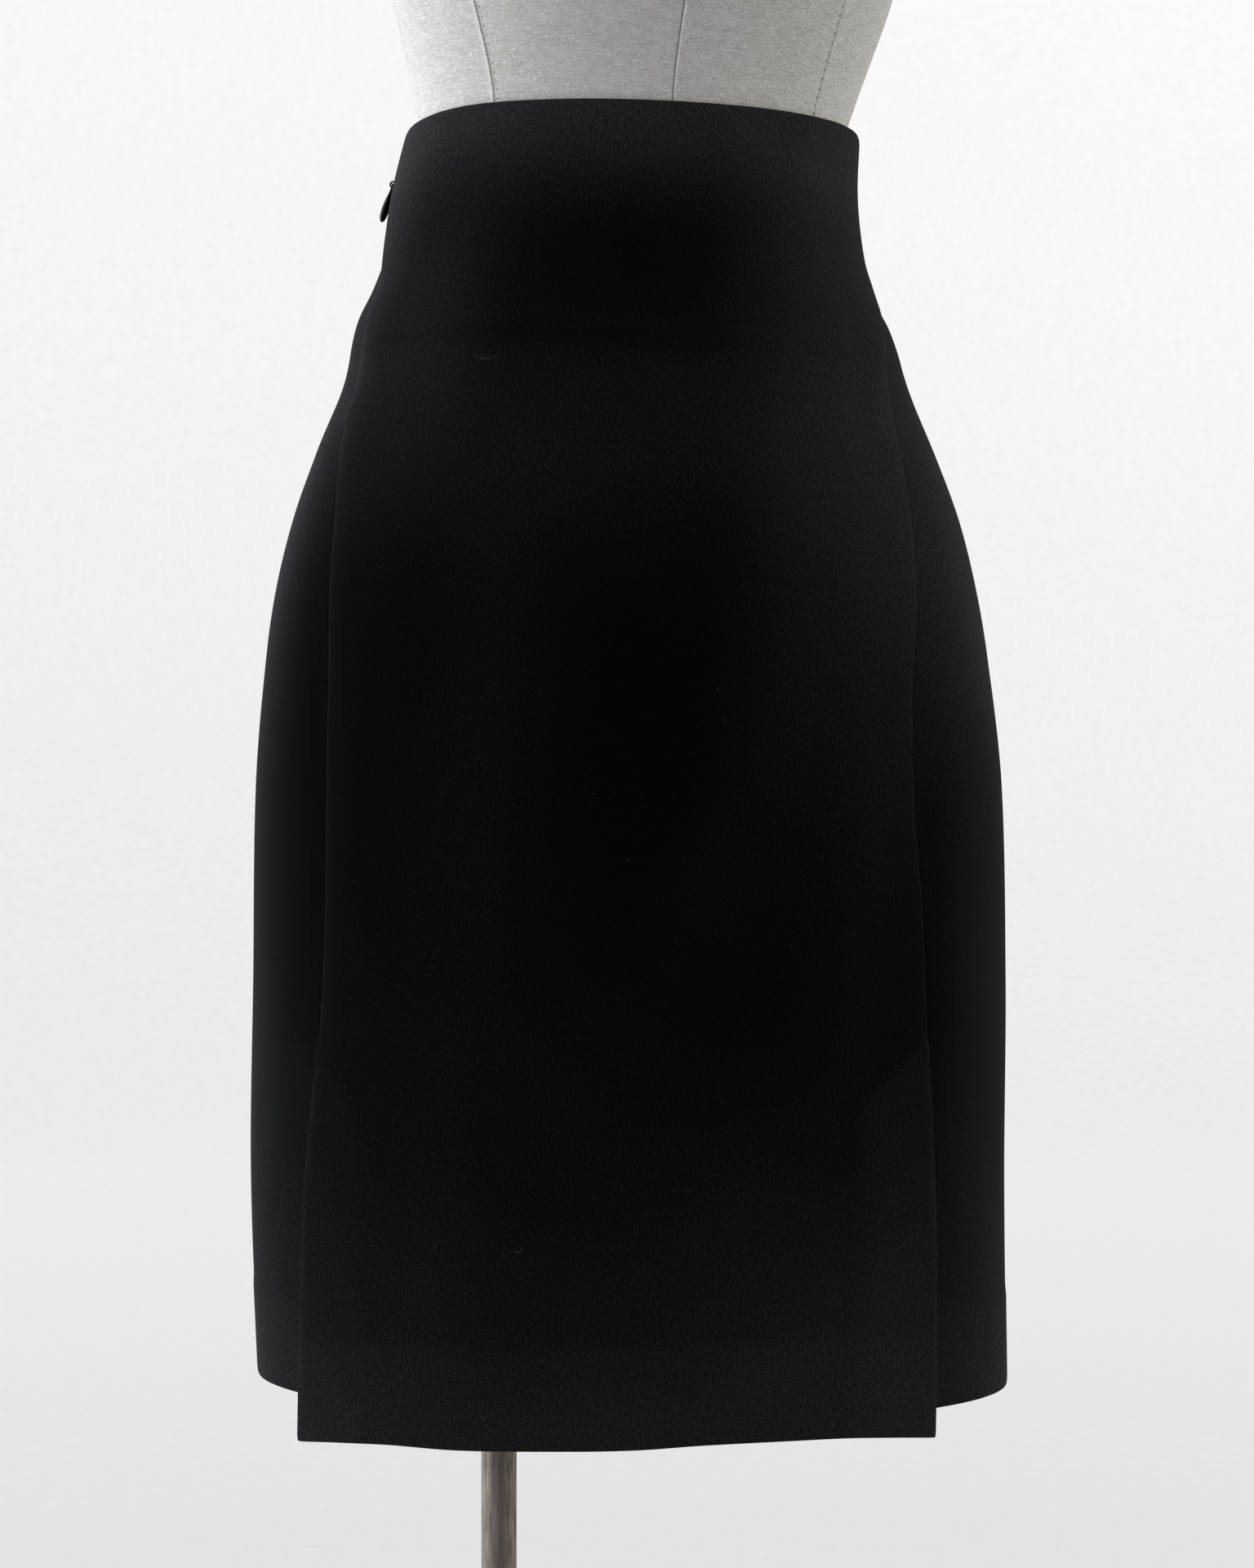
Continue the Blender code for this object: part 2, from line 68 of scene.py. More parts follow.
# Short names of types: a Shape is the points and faces of a mesh before it is written
Array = np.ndarray
Material = bpy.types.Material
Piece = bpy.types.Object
Socket = bpy.types.NodeSocket
Tree = bpy.types.NodeTree
Shape = tuple[Array, list[list[int]]]


class Side(Enum):
    """The two sides of the skirt as the viewer of its front sees them."""

    LEFT = -1
    RIGHT = 1


@dataclass(frozen=True)
class Ring:
    """One cross-section: half-widths, depths, squareness and turn at a height."""

    height: float
    left: float
    right: float
    front: float
    back: float
    square: float
    turn: float


SKIRT_RINGS = (
    Ring(1074, 116.8, 127.2, 93, 91, 2.05, 12),
    Ring(1037, 126.1, 125.8, 92, 90, 2.05, 12),
    Ring(1002, 131.7, 128.9, 97, 97, 2.06, 10),
    Ring(984, 136.4, 134.2, 100, 101, 2.07, 8.5),
    Ring(966, 144.1, 141.3, 103, 105, 2.08, 7),
    Ring(931, 152.3, 151.4, 108, 114, 2.10, 5),
    Ring(896, 167.4, 165.6, 112, 122, 2.12, 3),
    Ring(861, 178.9, 178.0, 116, 128, 2.14, 1),
    Ring(826, 187.6, 186.5, 119, 132, 2.16, 0),
    Ring(790, 193.0, 192.7, 122, 135, 2.17, 0),
    Ring(720, 198.8, 200.6, 126, 136, 2.18, 0),
    Ring(615, 200.1, 202.6, 129, 134, 2.15, 0),
    Ring(510, 201.2, 201.9, 131, 131, 2.12, 0),
    Ring(385, 196.6, 203.7, 133, 128, 2.10, 0),
)


@dataclass(frozen=True)
class Seam:
    """How far round from the centre front the two seams lie at a height."""

    height: float
    left: float
    right: float


SIDE_SEAMS = (
    Seam(1070, 107.0, 100.0),
    Seam(1040, 105.0, 98.0),
    Seam(1010, 97.0, 92.0),
    Seam(985, 82.8, 79.5),
    Seam(960, 77.8, 68.5),
    Seam(930, 73.2, 61.3),
    Seam(900, 66.0, 56.8),
    Seam(860, 57.6, 53.9),
    Seam(820, 53.2, 51.4),
    Seam(770, 50.4, 46.8),
    Seam(715, 49.2, 45.0),
    Seam(650, 49.3, 46.8),
    Seam(585, 50.7, 47.9),
    Seam(500, 52.4, 48.2),
    Seam(385, 52.7, 45.4),
)


@dataclass(frozen=True)
class Hem:
    """Height of a hem at an angle."""

    angle: float
    height: float


FRONT_HEM = (
    Hem(-52, 387.4),
    Hem(-44, 389.6),
    Hem(-35, 390.6),
    Hem(-24, 389.4),
    Hem(-12, 389.7),
    Hem(0, 390.7),
    Hem(10, 393.0),
    Hem(22, 394.6),
    Hem(31, 395.0),
    Hem(39, 393.6),
    Hem(46, 391.4),
)

BACK_HEM = (
    Hem(40, 399.2),
    Hem(66, 399.8),
    Hem(85, 400.8),
    Hem(180, 401.5),
    Hem(235, 403.0),
    Hem(262, 405.6),
    Hem(276, 407.0),
    Hem(287, 405.3),
    Hem(297, 403.8),
    Hem(322, 403.4),
)


@dataclass(frozen=True)
class Inside:
    """How far inside the skirt the form lies at a height."""

    height: float
    clearance: float


FORM_INSIDE = (
    Inside(737, 74.0),
    Inside(741, 58.0),
    Inside(750, 45.0),
    Inside(768, 33.0),
    Inside(798, 23.0),
    Inside(835, 15.5),
    Inside(875, 10.5),
    Inside(915, 7.5),
    Inside(960, 5.8),
    Inside(1003, 4.8),
    Inside(1037, 4.2),
)

FORM_RINGS = (
    Ring(1066, 115.2, 118.8, 89, 87, 2.05, 12),
    Ring(1087, 115.4, 124.6, 92, 87, 2.06, 12),
    Ring(1112, 120.4, 133.6, 100, 89, 2.08, 12),
    Ring(1140, 127.0, 143.4, 111, 92, 2.10, 12),
    Ring(1172, 135.5, 151.0, 122, 95, 2.12, 12),
    Ring(1207, 143.5, 157.0, 127, 97, 2.15, 12),
    Ring(1250, 148.0, 160.0, 120, 99, 2.18, 12),
    Ring(1294, 152.0, 162.0, 106, 98, 2.20, 12),
    Ring(1338, 157.0, 166.0, 86, 92, 2.20, 12),
    Ring(1372, 161.0, 169.0, 71, 84, 2.20, 12),
    Ring(1391, 158.0, 166.0, 63, 78, 2.15, 12),
    Ring(1405, 144.0, 152.0, 58, 72, 2.10, 12),
    Ring(1420, 118.0, 126.0, 55, 67, 2.05, 12),
    Ring(1434, 89.0, 97.0, 53, 63, 2.00, 12),
    Ring(1446, 68.0, 76.0, 53, 61, 2.00, 12),
    Ring(1459, 58.0, 66.0, 54, 59, 2.00, 12),
    Ring(1478, 54.0, 62.0, 52, 57, 2.00, 12),
    Ring(1494, 54.0, 62.0, 52, 57, 2.00, 12),
    Ring(1501, 50.0, 58.0, 48, 53, 2.00, 12),
    Ring(1504, 42.0, 50.0, 40, 45, 2.00, 12),
)


# Small maths

def hermite(knots: Sequence[float], values: Array, at: Array) -> Array:
    """Read values on a smooth curve through knots.

    Args:
        knots: rising places of the knots.
        values: one value, or one row of values, for each knot.
        at: places to read, held inside the knots' range.

    Returns:
        The values at those places.
    """
    knots = np.asarray(knots, float)
    values = np.asarray(values, float)
    slopes = np.empty_like(values)
    extra = (1,) * (values.ndim - 1)
    reach = (knots[2:] - knots[:-2]).reshape(-1, *extra)
    slopes[1:-1] = (values[2:] - values[:-2]) / reach
    slopes[0] = (values[1] - values[0]) / (knots[1] - knots[0])
    slopes[-1] = (values[-1] - values[-2]) / (knots[-1] - knots[-2])
    at = np.clip(np.asarray(at, float), knots[0], knots[-1])
    low = np.clip(np.searchsorted(knots, at, side="right") - 1, 0, len(knots) - 2)
    span = knots[low + 1] - knots[low]
    t = (at - knots[low]) / span
    t = np.reshape(t, np.shape(t) + extra)
    span = np.reshape(span, np.shape(span) + extra)
    return (
        values[low] * (2 * t**3 - 3 * t**2 + 1)
        + slopes[low] * span * (t**3 - 2 * t**2 + t)
        + values[low + 1] * (3 * t**2 - 2 * t**3)
        + slopes[low + 1] * span * (t**3 - t**2)
    )


def ease(value: Array) -> Array:
    """Soft step from 0 to 1."""
    t = np.clip(value, 0.0, 1.0)
    return t * t * (3.0 - 2.0 * t)


def bell(distance: Array, width: float) -> Array:
    """Soft bump of height 1 that has mostly faded at one width."""
    return np.exp(-((distance / width) ** 2))


def unit(vectors: Array) -> Array:
    """Vectors of length 1."""
    return vectors / np.maximum(np.linalg.norm(vectors, axis=-1, keepdims=True), 1e-9)


class RingStack:
    """Smooth surface through a stack of cross-sections."""

    COLUMNS = ("left", "right", "front", "back", "square", "turn")

    def __init__(self, rings: Iterable[Ring]) -> None:
        """Sort the rings by height and keep their columns.

        Args:
            rings: the cross-sections.
        """
        rows = sorted(rings, key=lambda ring: ring.height)
        self.heights = np.array([ring.height for ring in rows], float)
        self.values = np.array([[getattr(ring, c) for c in self.COLUMNS] for ring in rows])

    def points(self, height: Array, angle: Array) -> Array:
        """Points on the surface.

        Args:
            height: heights above the floor.
            angle: angles round from the centre front, positive towards +X.

        Returns:
            Points in millimetres, with a last axis of three.
        """
        height, angle = np.broadcast_arrays(np.asarray(height, float), np.asarray(angle, float))
        at = hermite(self.heights, self.values, height)
        left, right, front, back, square, turn = np.moveaxis(at, -1, 0)
        sine, cosine = np.sin(np.radians(angle)), np.cos(np.radians(angle))
        x = np.sign(sine) * np.where(sine > 0, right, left) * np.abs(sine) ** (2 / square)
        y = -np.sign(cosine) * np.where(cosine > 0, front, back) * np.abs(cosine) ** (2 / square)
        turn = np.radians(turn)
        across = SKIRT_AXIS_X + x * np.cos(turn) - y * np.sin(turn)
        return np.stack((across, x * np.sin(turn) + y * np.cos(turn), height), axis=-1)

    def directions(self, height: Array, angle: Array) -> tuple[Array, ...]:
        """Directions along the ring, up the surface and out of it, and the ring's speed.

        Args:
            height: heights above the floor.
            angle: angles round from the centre front.

        Returns:
            Along, upward and outward unit vectors, and millimetres for each degree.
        """
        height, angle = np.broadcast_arrays(np.asarray(height, float), np.asarray(angle, float))
        along = self.points(height, angle + 0.5) - self.points(height, angle - 0.5)
        upward = self.points(height + 1.0, angle) - self.points(height - 1.0, angle)
        outward = unit(np.cross(along, upward))
        return unit(along), unit(upward), outward, np.linalg.norm(along, axis=-1)


SKIRT = RingStack(SKIRT_RINGS)


@dataclass(frozen=True)
class Wave:
    """A soft rise or fall of the top edge, round an angle."""

    angle: float
    width: float
    height: float


TOP_WAVES = (
    Wave(3, 34, -1.1),
    Wave(-58, 20, 1.2),
    Wave(62, 16, 0.5),
    Wave(92, 10, -0.9),
)


@dataclass(frozen=True)
class SkirtEdges:
    """Where the skirt's edges, seams and vents lie."""

    top: float = 1067.3
    top_tilt: float = 0.4
    top_crown: float = 0.9
    vent_top: float = 587.0
    vent_end: float = 390.0
    vent_step: float = 10.0
    underlap: float = 30.0
    seam_closes: float = 0.5
    vent_gap: float = 0.3
    front_stands_out: float = 14.0
    side_tucks_in: float = 12.0
    tuck_ends_at: float = 82.0
    vent_draws_in: tuple[float, float] = (1.2, 0.8)

    def top_height(self, angle: Array) -> Array:
        """Height of the top edge round the skirt.

        Args:
            angle: angles round from the centre front.

        Returns:
            The heights.
        """
        turn = np.radians(angle)
        level = self.top + self.top_tilt * np.sin(turn) + self.top_crown * np.cos(turn)
        for wave in TOP_WAVES:
            away = (angle - wave.angle + 180.0) % 360.0 - 180.0
            level = level + wave.height * bell(away, wave.width)
        return level

    def front_hem_height(self, angle: Array) -> Array:
        """Height of the front panel's hem."""
        return hermite([row.angle for row in FRONT_HEM], [row.height for row in FRONT_HEM], angle)

    def back_hem_height(self, angle: Array) -> Array:
        """Height of the back panel's hem."""
        return hermite([row.angle for row in BACK_HEM], [row.height for row in BACK_HEM], angle)

    def seam(self, height: Array, side: Side) -> Array:
        """Angle of a side seam at a height, with its sign.

        Args:
            height: heights on the seam.
            side: which of the two seams.

        Returns:
            The angles.
        """
        column = [getattr(row, side.name.lower()) for row in reversed(SIDE_SEAMS)]
        knots = [row.height for row in reversed(SIDE_SEAMS)]
        return side.value * hermite(knots, column, height)

    def seam_gap(self, height: Array) -> Array:
        """Gap between the panels: sewn shut above the vents, free below."""
        free = ease((self.vent_top - height) / 6.0)
        return self.vent_gap * free - self.seam_closes * (1.0 - free)

    def vent_share(self, height: Array) -> Array:
        """How far down the vent a height lies, from 0 at its top to 1 at the hem."""
        return np.clip((self.vent_top - height) / (self.vent_top - self.vent_end), 0.0, 1.0)


EDGES = SkirtEdges()


# Meshes

def skin(rows: int, count: int, ends: bool = True, wraps: bool = False, flip: bool = False) -> list:
    """Faces between rings of points.

    Args:
        rows: how many rings there are.
        count: points on each.
        ends: close the first and the last ring with a flat face.
        wraps: join the last ring to the first.
        flip: turn the faces to their other side.

    Returns:
        The faces.
    """
    faces = []
    for row in range(rows if wraps else rows - 1):
        a, b = row * count, (row + 1) % rows * count
        for index in range(count):
            after = (index + 1) % count
            face = [a + index, b + index, b + after, a + after]
            faces.append([face[0], *face[:0:-1]] if flip else face)
    if ends:
        caps = range(count), range(rows * count - 1, (rows - 1) * count - 1, -1)
        faces += [list(cap)[::-1] if flip else list(cap) for cap in caps]
    return faces


def closed_shell(outer: Array, inner: Array, bulge: Sequence[Array]) -> Shape:
    """Join two grids of points into one closed wall with rounded edges.

    Args:
        outer: grid of outer points, rows from top to bottom, columns to the right.
        inner: grid of inner points with the same shape.
        bulge: how far the top, right, bottom and left edges round out.

    Returns:
        The points and the faces.
    """
    rows, columns, _ = outer.shape
    index = np.arange(rows * columns).reshape(rows, columns)
    inside = index + rows * columns
    faces = []
    for grid, order in ((index, (0, 1, 2, 3)), (inside, (0, 3, 2, 1))):
        corners = (grid[:-1, :-1], grid[1:, :-1], grid[1:, 1:], grid[:-1, 1:])
        faces += np.stack([corners[place] for place in order], axis=-1).reshape(-1, 4).tolist()
    loops = (
        [(0, c) for c in range(columns - 1)],
        [(r, columns - 1) for r in range(rows - 1)],
        [(rows - 1, c) for c in range(columns - 1, 0, -1)],
        [(r, 0) for r in range(rows - 1, 0, -1)],
    )
    inward = ((1, 0), (0, -1), (-1, 0), (0, 1))
    round_points, border = [], []
    for loop, step, out in zip(loops, inward, bulge):
        for place, (r, c) in enumerate(loop):
            away = unit(outer[r, c] - outer[r + step[0], c + step[1]])
            amount = float(np.asarray(out).reshape(-1)[min(place, np.size(out) - 1)])
            round_points.append((outer[r, c] + inner[r, c]) / 2 + away * amount)
            border.append((r, c))
    start = 2 * rows * columns
    for place, here in enumerate(border):
        after = (place + 1) % len(border)
        there = border[after]
        faces.append((index[here], index[there], start + after, start + place))
        faces.append((start + place, start + after, inside[there], inside[here]))
    points = np.concatenate((outer.reshape(-1, 3), inner.reshape(-1, 3), round_points))
    return points, [[int(corner) for corner in face] for face in faces]


def for_shell(on_grid: Array, points: Array, rim: float = 0.0) -> Array:
    """Repeat values of a grid for both sides of a wall, with one value on its rim.

    Args:
        on_grid: one row of values for each point of the grid.
        points: all points of the wall.
        rim: the value along its edges.

    Returns:
        One row of values for each point of the wall.
    """
    border = np.full((len(points) - 2 * len(on_grid), *on_grid.shape[1:]), rim)
    return np.concatenate((on_grid, on_grid, border))


def write_mesh(
    name: str, points: Array, faces: Sequence[Sequence[int]],
    uv: Array | None = None, sharp: float = 180.0, painted_light: Array | None = None,
) -> Piece:
    """Write points in millimetres and faces as an object in metres.

    Args:
        name: the piece's name.
        points: its points.
        faces: its faces, as rows of point numbers.
        uv: a pair for each point, in metres on the cloth, or None.
        sharp: edges bent more than this stay sharp.
        painted_light: how much painted sheen and shade the cloth gets at each point, or None.

    Returns:
        The new object, shaded smooth.
    """
    mesh = bpy.data.meshes.new(name)
    mesh.from_pydata((np.asarray(points) * MM).tolist(), [], [tuple(f) for f in faces])
    mesh.update()
    if uv is not None:
        layer = mesh.uv_layers.new(name="cloth")
        corner = np.empty(len(mesh.loops), np.int64)
        mesh.loops.foreach_get("vertex_index", corner)
        layer.data.foreach_set("uv", np.asarray(uv, np.float32)[corner].reshape(-1))
    # Per-point share of painted sheen and shade, read by the cloth's material.
    if painted_light is not None:
        layer = mesh.attributes.new("painted_light", "FLOAT", "POINT")
        layer.data.foreach_set("value", np.asarray(painted_light, np.float32).reshape(-1))
    mesh.shade_smooth()
    if sharp < 180.0:
        mesh.set_sharp_from_angle(angle=math.radians(sharp))
    obj = bpy.data.objects.new(name, mesh)
    bpy.context.scene.collection.objects.link(obj)
    return obj


def seat(
    piece: Piece, material: Material, node: str | None = None, body: str = BODY
) -> Piece:
    """Finish a piece and set it in the frame.

    Args:
        piece: the piece.
        material: its finish.
        node: the solid that it stands for, or None.
        body: the body that it rides on.

    Returns:
        The same piece.
    """
    piece.data.materials.append(material)
    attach(piece, body)
    if node:
        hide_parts(node)
    LOG.info("%s: %d faces on %s", piece.name, len(piece.data.polygons), body)
    return piece


def join_parts(parts: Sequence[Shape]) -> Shape:
    """Join several small meshes into one.

    Args:
        parts: their points and faces.

    Returns:
        All points and all faces.
    """
    points, faces, start = [], [], 0
    for part_points, part_faces in parts:
        points.append(np.asarray(part_points, float))
        faces += [[start + corner for corner in face] for face in part_faces]
        start += len(part_points)
    return np.concatenate(points), faces


def tube(path: Sequence[Sequence[float]], radius: Array, sides: int) -> Shape:
    """Closed tube along a path.

    Args:
        path: points of the middle line.
        radius: its radius at each point.
        sides: corners of its cross-section.

    Returns:
        Points and faces.
    """
    path = np.asarray(path, float)
    ahead = unit(np.gradient(path, axis=0))
    start = np.array((0.0, 0.0, 1.0)) if abs(ahead[0][2]) < 0.9 else np.array((1.0, 0.0, 0.0))
    across = unit(np.cross(ahead[0], start))
    turns = np.arange(sides) * math.tau / sides
    points = []
    for place, way, size in zip(path, ahead, radius):
        across = unit(across - way * np.dot(across, way))
        other = np.cross(way, across)
        points += [place + size * (across * math.cos(t) + other * math.sin(t)) for t in turns]
    return np.array(points), skin(len(path), sides, flip=True)


# Materials

def linear(hex_colour: str, strength: float = 1.0) -> tuple[float, float, float, float]:
    """Turn an sRGB hex colour into the linear values that a shader takes.

    Args:
        hex_colour: the colour.
        strength: multiplies its three channels.

    Returns:
        Red, green, blue and an alpha of 1.
    """
    digits = hex_colour.lstrip("#")
    channels = [int(digits[place : place + 2], 16) / 255 for place in (0, 2, 4)]
    bent = [c / 12.92 if c <= 0.04045 else ((c + 0.055) / 1.055) ** 2.4 for c in channels]
    return (*[strength * c for c in bent], 1.0)


def add_node(tree: Tree, kind: str, settings: dict[str, object], inputs: dict) -> bpy.types.Node:
    """Add a node with its settings, values and links.

    Args:
        tree: the node tree.
        kind: the node's type name.
        settings: attributes of the node.
        inputs: a value, or an output socket to link, for each input's name or number.

    Returns:
        The node.
    """
    node = tree.nodes.new(kind)
    for key, value in settings.items():
        setattr(node, key, value)
    set_inputs(tree, node, inputs)
    return node


def set_inputs(tree: Tree, node: bpy.types.Node, inputs: dict) -> None:
    """Set or link the inputs of a node.

    Args:
        tree: the node tree.
        node: the node.
        inputs: a value, or an output socket to link, for each input's name or number.
    """
    for key, value in inputs.items():
        if isinstance(value, Socket):
            tree.links.new(value, node.inputs[key])
        else:
            node.inputs[key].default_value = value


class Shade:
    """The nodes of a material or a world, and short ways to add to them."""

    def __init__(self, tree: Tree) -> None:
        """Take a node tree to add to."""
        self.tree = tree

    def place(self, kind: str = "Object") -> Socket:
        """Coordinates of one kind."""
        return add_node(self.tree, "ShaderNodeTexCoord", {}, {}).outputs[kind]

    def cloth(self) -> Socket:
        """Place on the cloth, in metres."""
        return add_node(self.tree, "ShaderNodeUVMap", {"uv_map": "cloth"}, {}).outputs["UV"]

    def stretch(self, place: Socket, scale: tuple[float, ...], turn: float = 0.0) -> Socket:
        """Coordinates scaled along their axes and turned.

        Args:
            place: the coordinates.
            scale: how much along each axis.
            turn: degrees about the third.

        Returns:
            The new coordinates.
        """
        inputs = {"Vector": place, "Rotation": (0.0, 0.0, math.radians(turn)), "Scale": scale}
        return add_node(self.tree, "ShaderNodeMapping", {}, inputs).outputs["Vector"]

    def noise(self, place: Socket, scale: float, detail: float, roughness: float = 0.5) -> Socket:
        """Soft noise.

        Args:
            place: the coordinates.
            scale: cells for each unit of them.
            detail: how many finer layers it has.
            roughness: how strong those are.

        Returns:
            Its value.
        """
        inputs = {"Vector": place, "Scale": scale, "Detail": detail, "Roughness": roughness}
        return add_node(self.tree, "ShaderNodeTexNoise", {}, inputs).outputs["Fac"]

    def mix(self, share: object, first: object, second: object) -> Socket:
        """Mix of two values, with a share of the second."""
        inputs = {0: share, 2: first, 3: second}
        return add_node(self.tree, "ShaderNodeMix", {"data_type": "FLOAT"}, inputs).outputs[0]

    def mix_colours(self, share: object, first: object, second: object, kind: str = "MIX") -> Socket:
        """Mix of two colours.

        Args:
            share: the second colour's share.
            first: the first colour.
            second: the second colour.
            kind: how the second is mixed in.

        Returns:
            The colour.
        """
        settings = {"data_type": "RGBA", "blend_type": kind}
        return add_node(self.tree, "ShaderNodeMix", settings, {0: share, 6: first, 7: second}).outputs[2]

    def ramp(self, value: Socket, stops: Sequence[tuple[float, tuple]]) -> Socket:
        """Colours for a value.

        Args:
            value: the value.
            stops: pairs of place and colour.

        Returns:
            The colour.
        """
        node = add_node(self.tree, "ShaderNodeValToRGB", {}, {"Fac": value})
        ramp = node.color_ramp
        ramp.elements.remove(ramp.elements[-1])
        ramp.elements[0].position, ramp.elements[0].color = stops[0]
        for place, colour in stops[1:]:
            ramp.elements.new(place).color = colour
        return node.outputs["Color"]

    def remap(self, value: Socket, **limits: float) -> Socket:
        """Value moved from one range to another, with limits such as From_Min."""
        inputs = {"Value": value, **{key.replace("_", " "): limit for key, limit in limits.items()}}
        return add_node(self.tree, "ShaderNodeMapRange", {}, inputs).outputs["Result"]

    def work_out(self, kind: str, first: object, second: object, clamp: bool = False) -> Socket:
        """Result of one kind of sum, held between 0 and 1 if clamped."""
        settings = {"operation": kind, "use_clamp": clamp}
        return add_node(self.tree, "ShaderNodeMath", settings, {0: first, 1: second}).outputs[0]

    def split(self, place: Socket) -> dict[str, Socket]:
        """The three parts of coordinates, by their axis."""
        node = add_node(self.tree, "ShaderNodeSeparateXYZ", {}, {"Vector": place})
        return {axis: node.outputs[axis] for axis in "XYZ"}

    def bump(self, strength: float, distance: float, height: object) -> Socket:
        """Normal of a low relief."""
        inputs = {"Strength": strength, "Distance": distance, "Height": height}
        return add_node(self.tree, "ShaderNodeBump", {}, inputs).outputs["Normal"]


def new_material(name: str) -> tuple[Material, Shade, Callable[[dict], None]]:
    """New material.

    Args:
        name: its name.

    Returns:
        The material, its nodes, and a function that sets or links its Principled shader's inputs.
    """
    material = bpy.data.materials.new(name)
    material.use_nodes = True
    tree = material.node_tree
    shader = tree.nodes["Principled BSDF"]
    return material, Shade(tree), lambda inputs: set_inputs(tree, shader, inputs)


@dataclass(frozen=True)
class WoolCrepe:
    """Black wool crepe, woven and pressed: matt, with a faint grain, a soft edge sheen and painted sheen.
    """

    name: str = "black_wool_crepe"
    base: str = "#020202"
    light_yarn: str = "#0C0C0C"
    nap_dark: str = "#18181A"
    painted_sheen_light: str = "#3C3C3D"
    twist_mm: float = 1.15
    twist_turn: float = 38.0
    grain_mm: float = 0.6
    roughness: float = 0.88
    specular: float = 0.02
    sheen: float = 0.10
    sheen_roughness: float = 0.34
    sheen_tint: str = "#BCBDBE"

    def make(self) -> Material:
        """Build the material. The pebbled grain is drawn a little coarser, so that it shows.

        Returns:
            The material.
        """
        material, shade, finish = new_material(self.name)
        uv = shade.cloth()
        lie = shade.stretch(uv, (1000 / self.twist_mm, 400 / self.twist_mm, 1.0), self.twist_turn)
        rib = shade.noise(lie, 1.0, 2.0, 0.6)
        grain = shade.noise(uv, 1000 / self.grain_mm, 2.0, 0.6)
        weave = shade.mix(0.66, rib, grain)
        value = shade.mix(0.06, weave, shade.noise(uv, 14.0, 3.0))
        colour = shade.ramp(value, [(0.41, linear(self.base)), (0.64, linear(self.light_yarn))])
        # Lighter copy of the wool's colours, mixed in by the mesh's share: painted sheen and highlight.
        lit = shade.ramp(value, [(0.41, linear(self.nap_dark)), (0.64, linear(self.painted_sheen_light))])
        painted_light = add_node(shade.tree, "ShaderNodeAttribute", {"attribute_name": "painted_light"}, {})
        finish({
            "Base Color": shade.mix_colours(painted_light.outputs["Fac"], colour, lit),
            "Normal": shade.bump(0.6, 0.00025, weave),
            "Roughness": self.roughness,
            "Specular IOR Level": self.specular,
            "Sheen Weight": self.sheen,
            "Sheen Roughness": self.sheen_roughness,
            "Sheen Tint": linear(self.sheen_tint),
        })
        return material


@dataclass(frozen=True)
class SlubLinen:
    """Undyed linen, plain woven from uneven slubby yarn: dry and matt, softly mottled."""

    name: str = "undyed_slub_linen"
    base: str = "#CFCECB"
    dark: str = "#BDBCB9"
    pale: str = "#E3E2E0"
    knots: str = "#F4F3F1"
    thread_mm: float = 1.1
    mottle_mm: float = 6.0
    slub_mm: float = 6.0
    fleck_mm: float = 1.6
    relief: float = 0.0012
    roughness: float = 0.93
    specular: float = 0.25

    def make(self) -> Material:
        """Build the material. Threads are drawn twice their size, so that they show.

        Returns:
            The material.
        """
        material, shade, finish = new_material(self.name)
        uv = shade.cloth()
        sizes = (
            (self.thread_mm * 1.3, self.thread_mm, 3.0),
            (self.mottle_mm * 1.5, self.mottle_mm, 3.0),
            (self.slub_mm, self.thread_mm * 1.2, 1.0),
            (self.fleck_mm * 1.6, self.fleck_mm, 1.0),
        )
        grain, mottle, slub, fleck = [
            shade.noise(shade.stretch(uv, (1000 / wide, 1000 / high, 1.0)), 1.0, detail, 0.6)
            for wide, high, detail in sizes
        ]
        value = shade.mix(0.22, shade.mix(0.30, grain, slub), mottle)
        stops = ((0.38, self.dark), (0.50, self.base), (0.62, self.pale))
        colour = shade.ramp(value, [(place, linear(tone)) for place, tone in stops])
        mask = shade.ramp(fleck, [(0.66, (0, 0, 0, 1)), (0.73, (0.9, 0.9, 0.9, 1))])
        finish({
            "Base Color": shade.mix_colours(mask, colour, linear(self.knots)),
            "Normal": shade.bump(1.0, self.relief, value),
            "Roughness": self.roughness,
            "Specular IOR Level": self.specular,
        })
        return material


@dataclass(frozen=True)
class TurnedMetal:
    """Steel or plated metal: polished, brushed round or left satin by its lathe marks."""

    name: str
    colour: str
    roughness: float
    mark_mm: float
    mark_depth: float
    streak_scale: float = 60.0

    def make(self) -> Material:
        """Build the material: fine marks that soften and streak what the metal mirrors.

        Returns:
            The material.
        """
        material, shade, finish = new_material(self.name)
        across = 1000 / self.mark_mm
        marks = shade.stretch(shade.place(), (across, across, self.streak_scale))
        streak = shade.noise(marks, 1.0, 3.0)
        low, high = self.roughness * 0.8, self.roughness * 1.25
        finish({
            "Base Color": linear(self.colour),
            "Metallic": 1.0,
            "Roughness": shade.remap(streak, From_Min=0.3, From_Max=0.7, To_Min=low, To_Max=high),
            "Normal": shade.bump(0.25, self.mark_depth * MM, streak),
        })
        return material


@dataclass(frozen=True)
class SatinEnamel:
    """White satin enamel, sprayed and baked: even colour with a slight orange peel."""

    name: str = "white_satin_enamel"
    colour: str = "#DCDCDA"
    dusty: str = "#D2D2CF"
    peel_mm: float = 2.5
    roughness: float = 0.38

    def make(self) -> Material:
        """Build the material: a slight peel and a trace of dust.

        Returns:
            The material.
        """
        material, shade, finish = new_material(self.name)
        place = shade.place()
        peel = shade.noise(place, 1000 / self.peel_mm, 1.0)
        dust = shade.noise(place, 9.0, 4.0)
        finish({
            "Base Color": shade.ramp(dust, [(0.3, linear(self.dusty)), (0.6, linear(self.colour))]),
            "Normal": shade.bump(0.12, 0.00005, peel),
            "Roughness": self.roughness,
        })
        return material


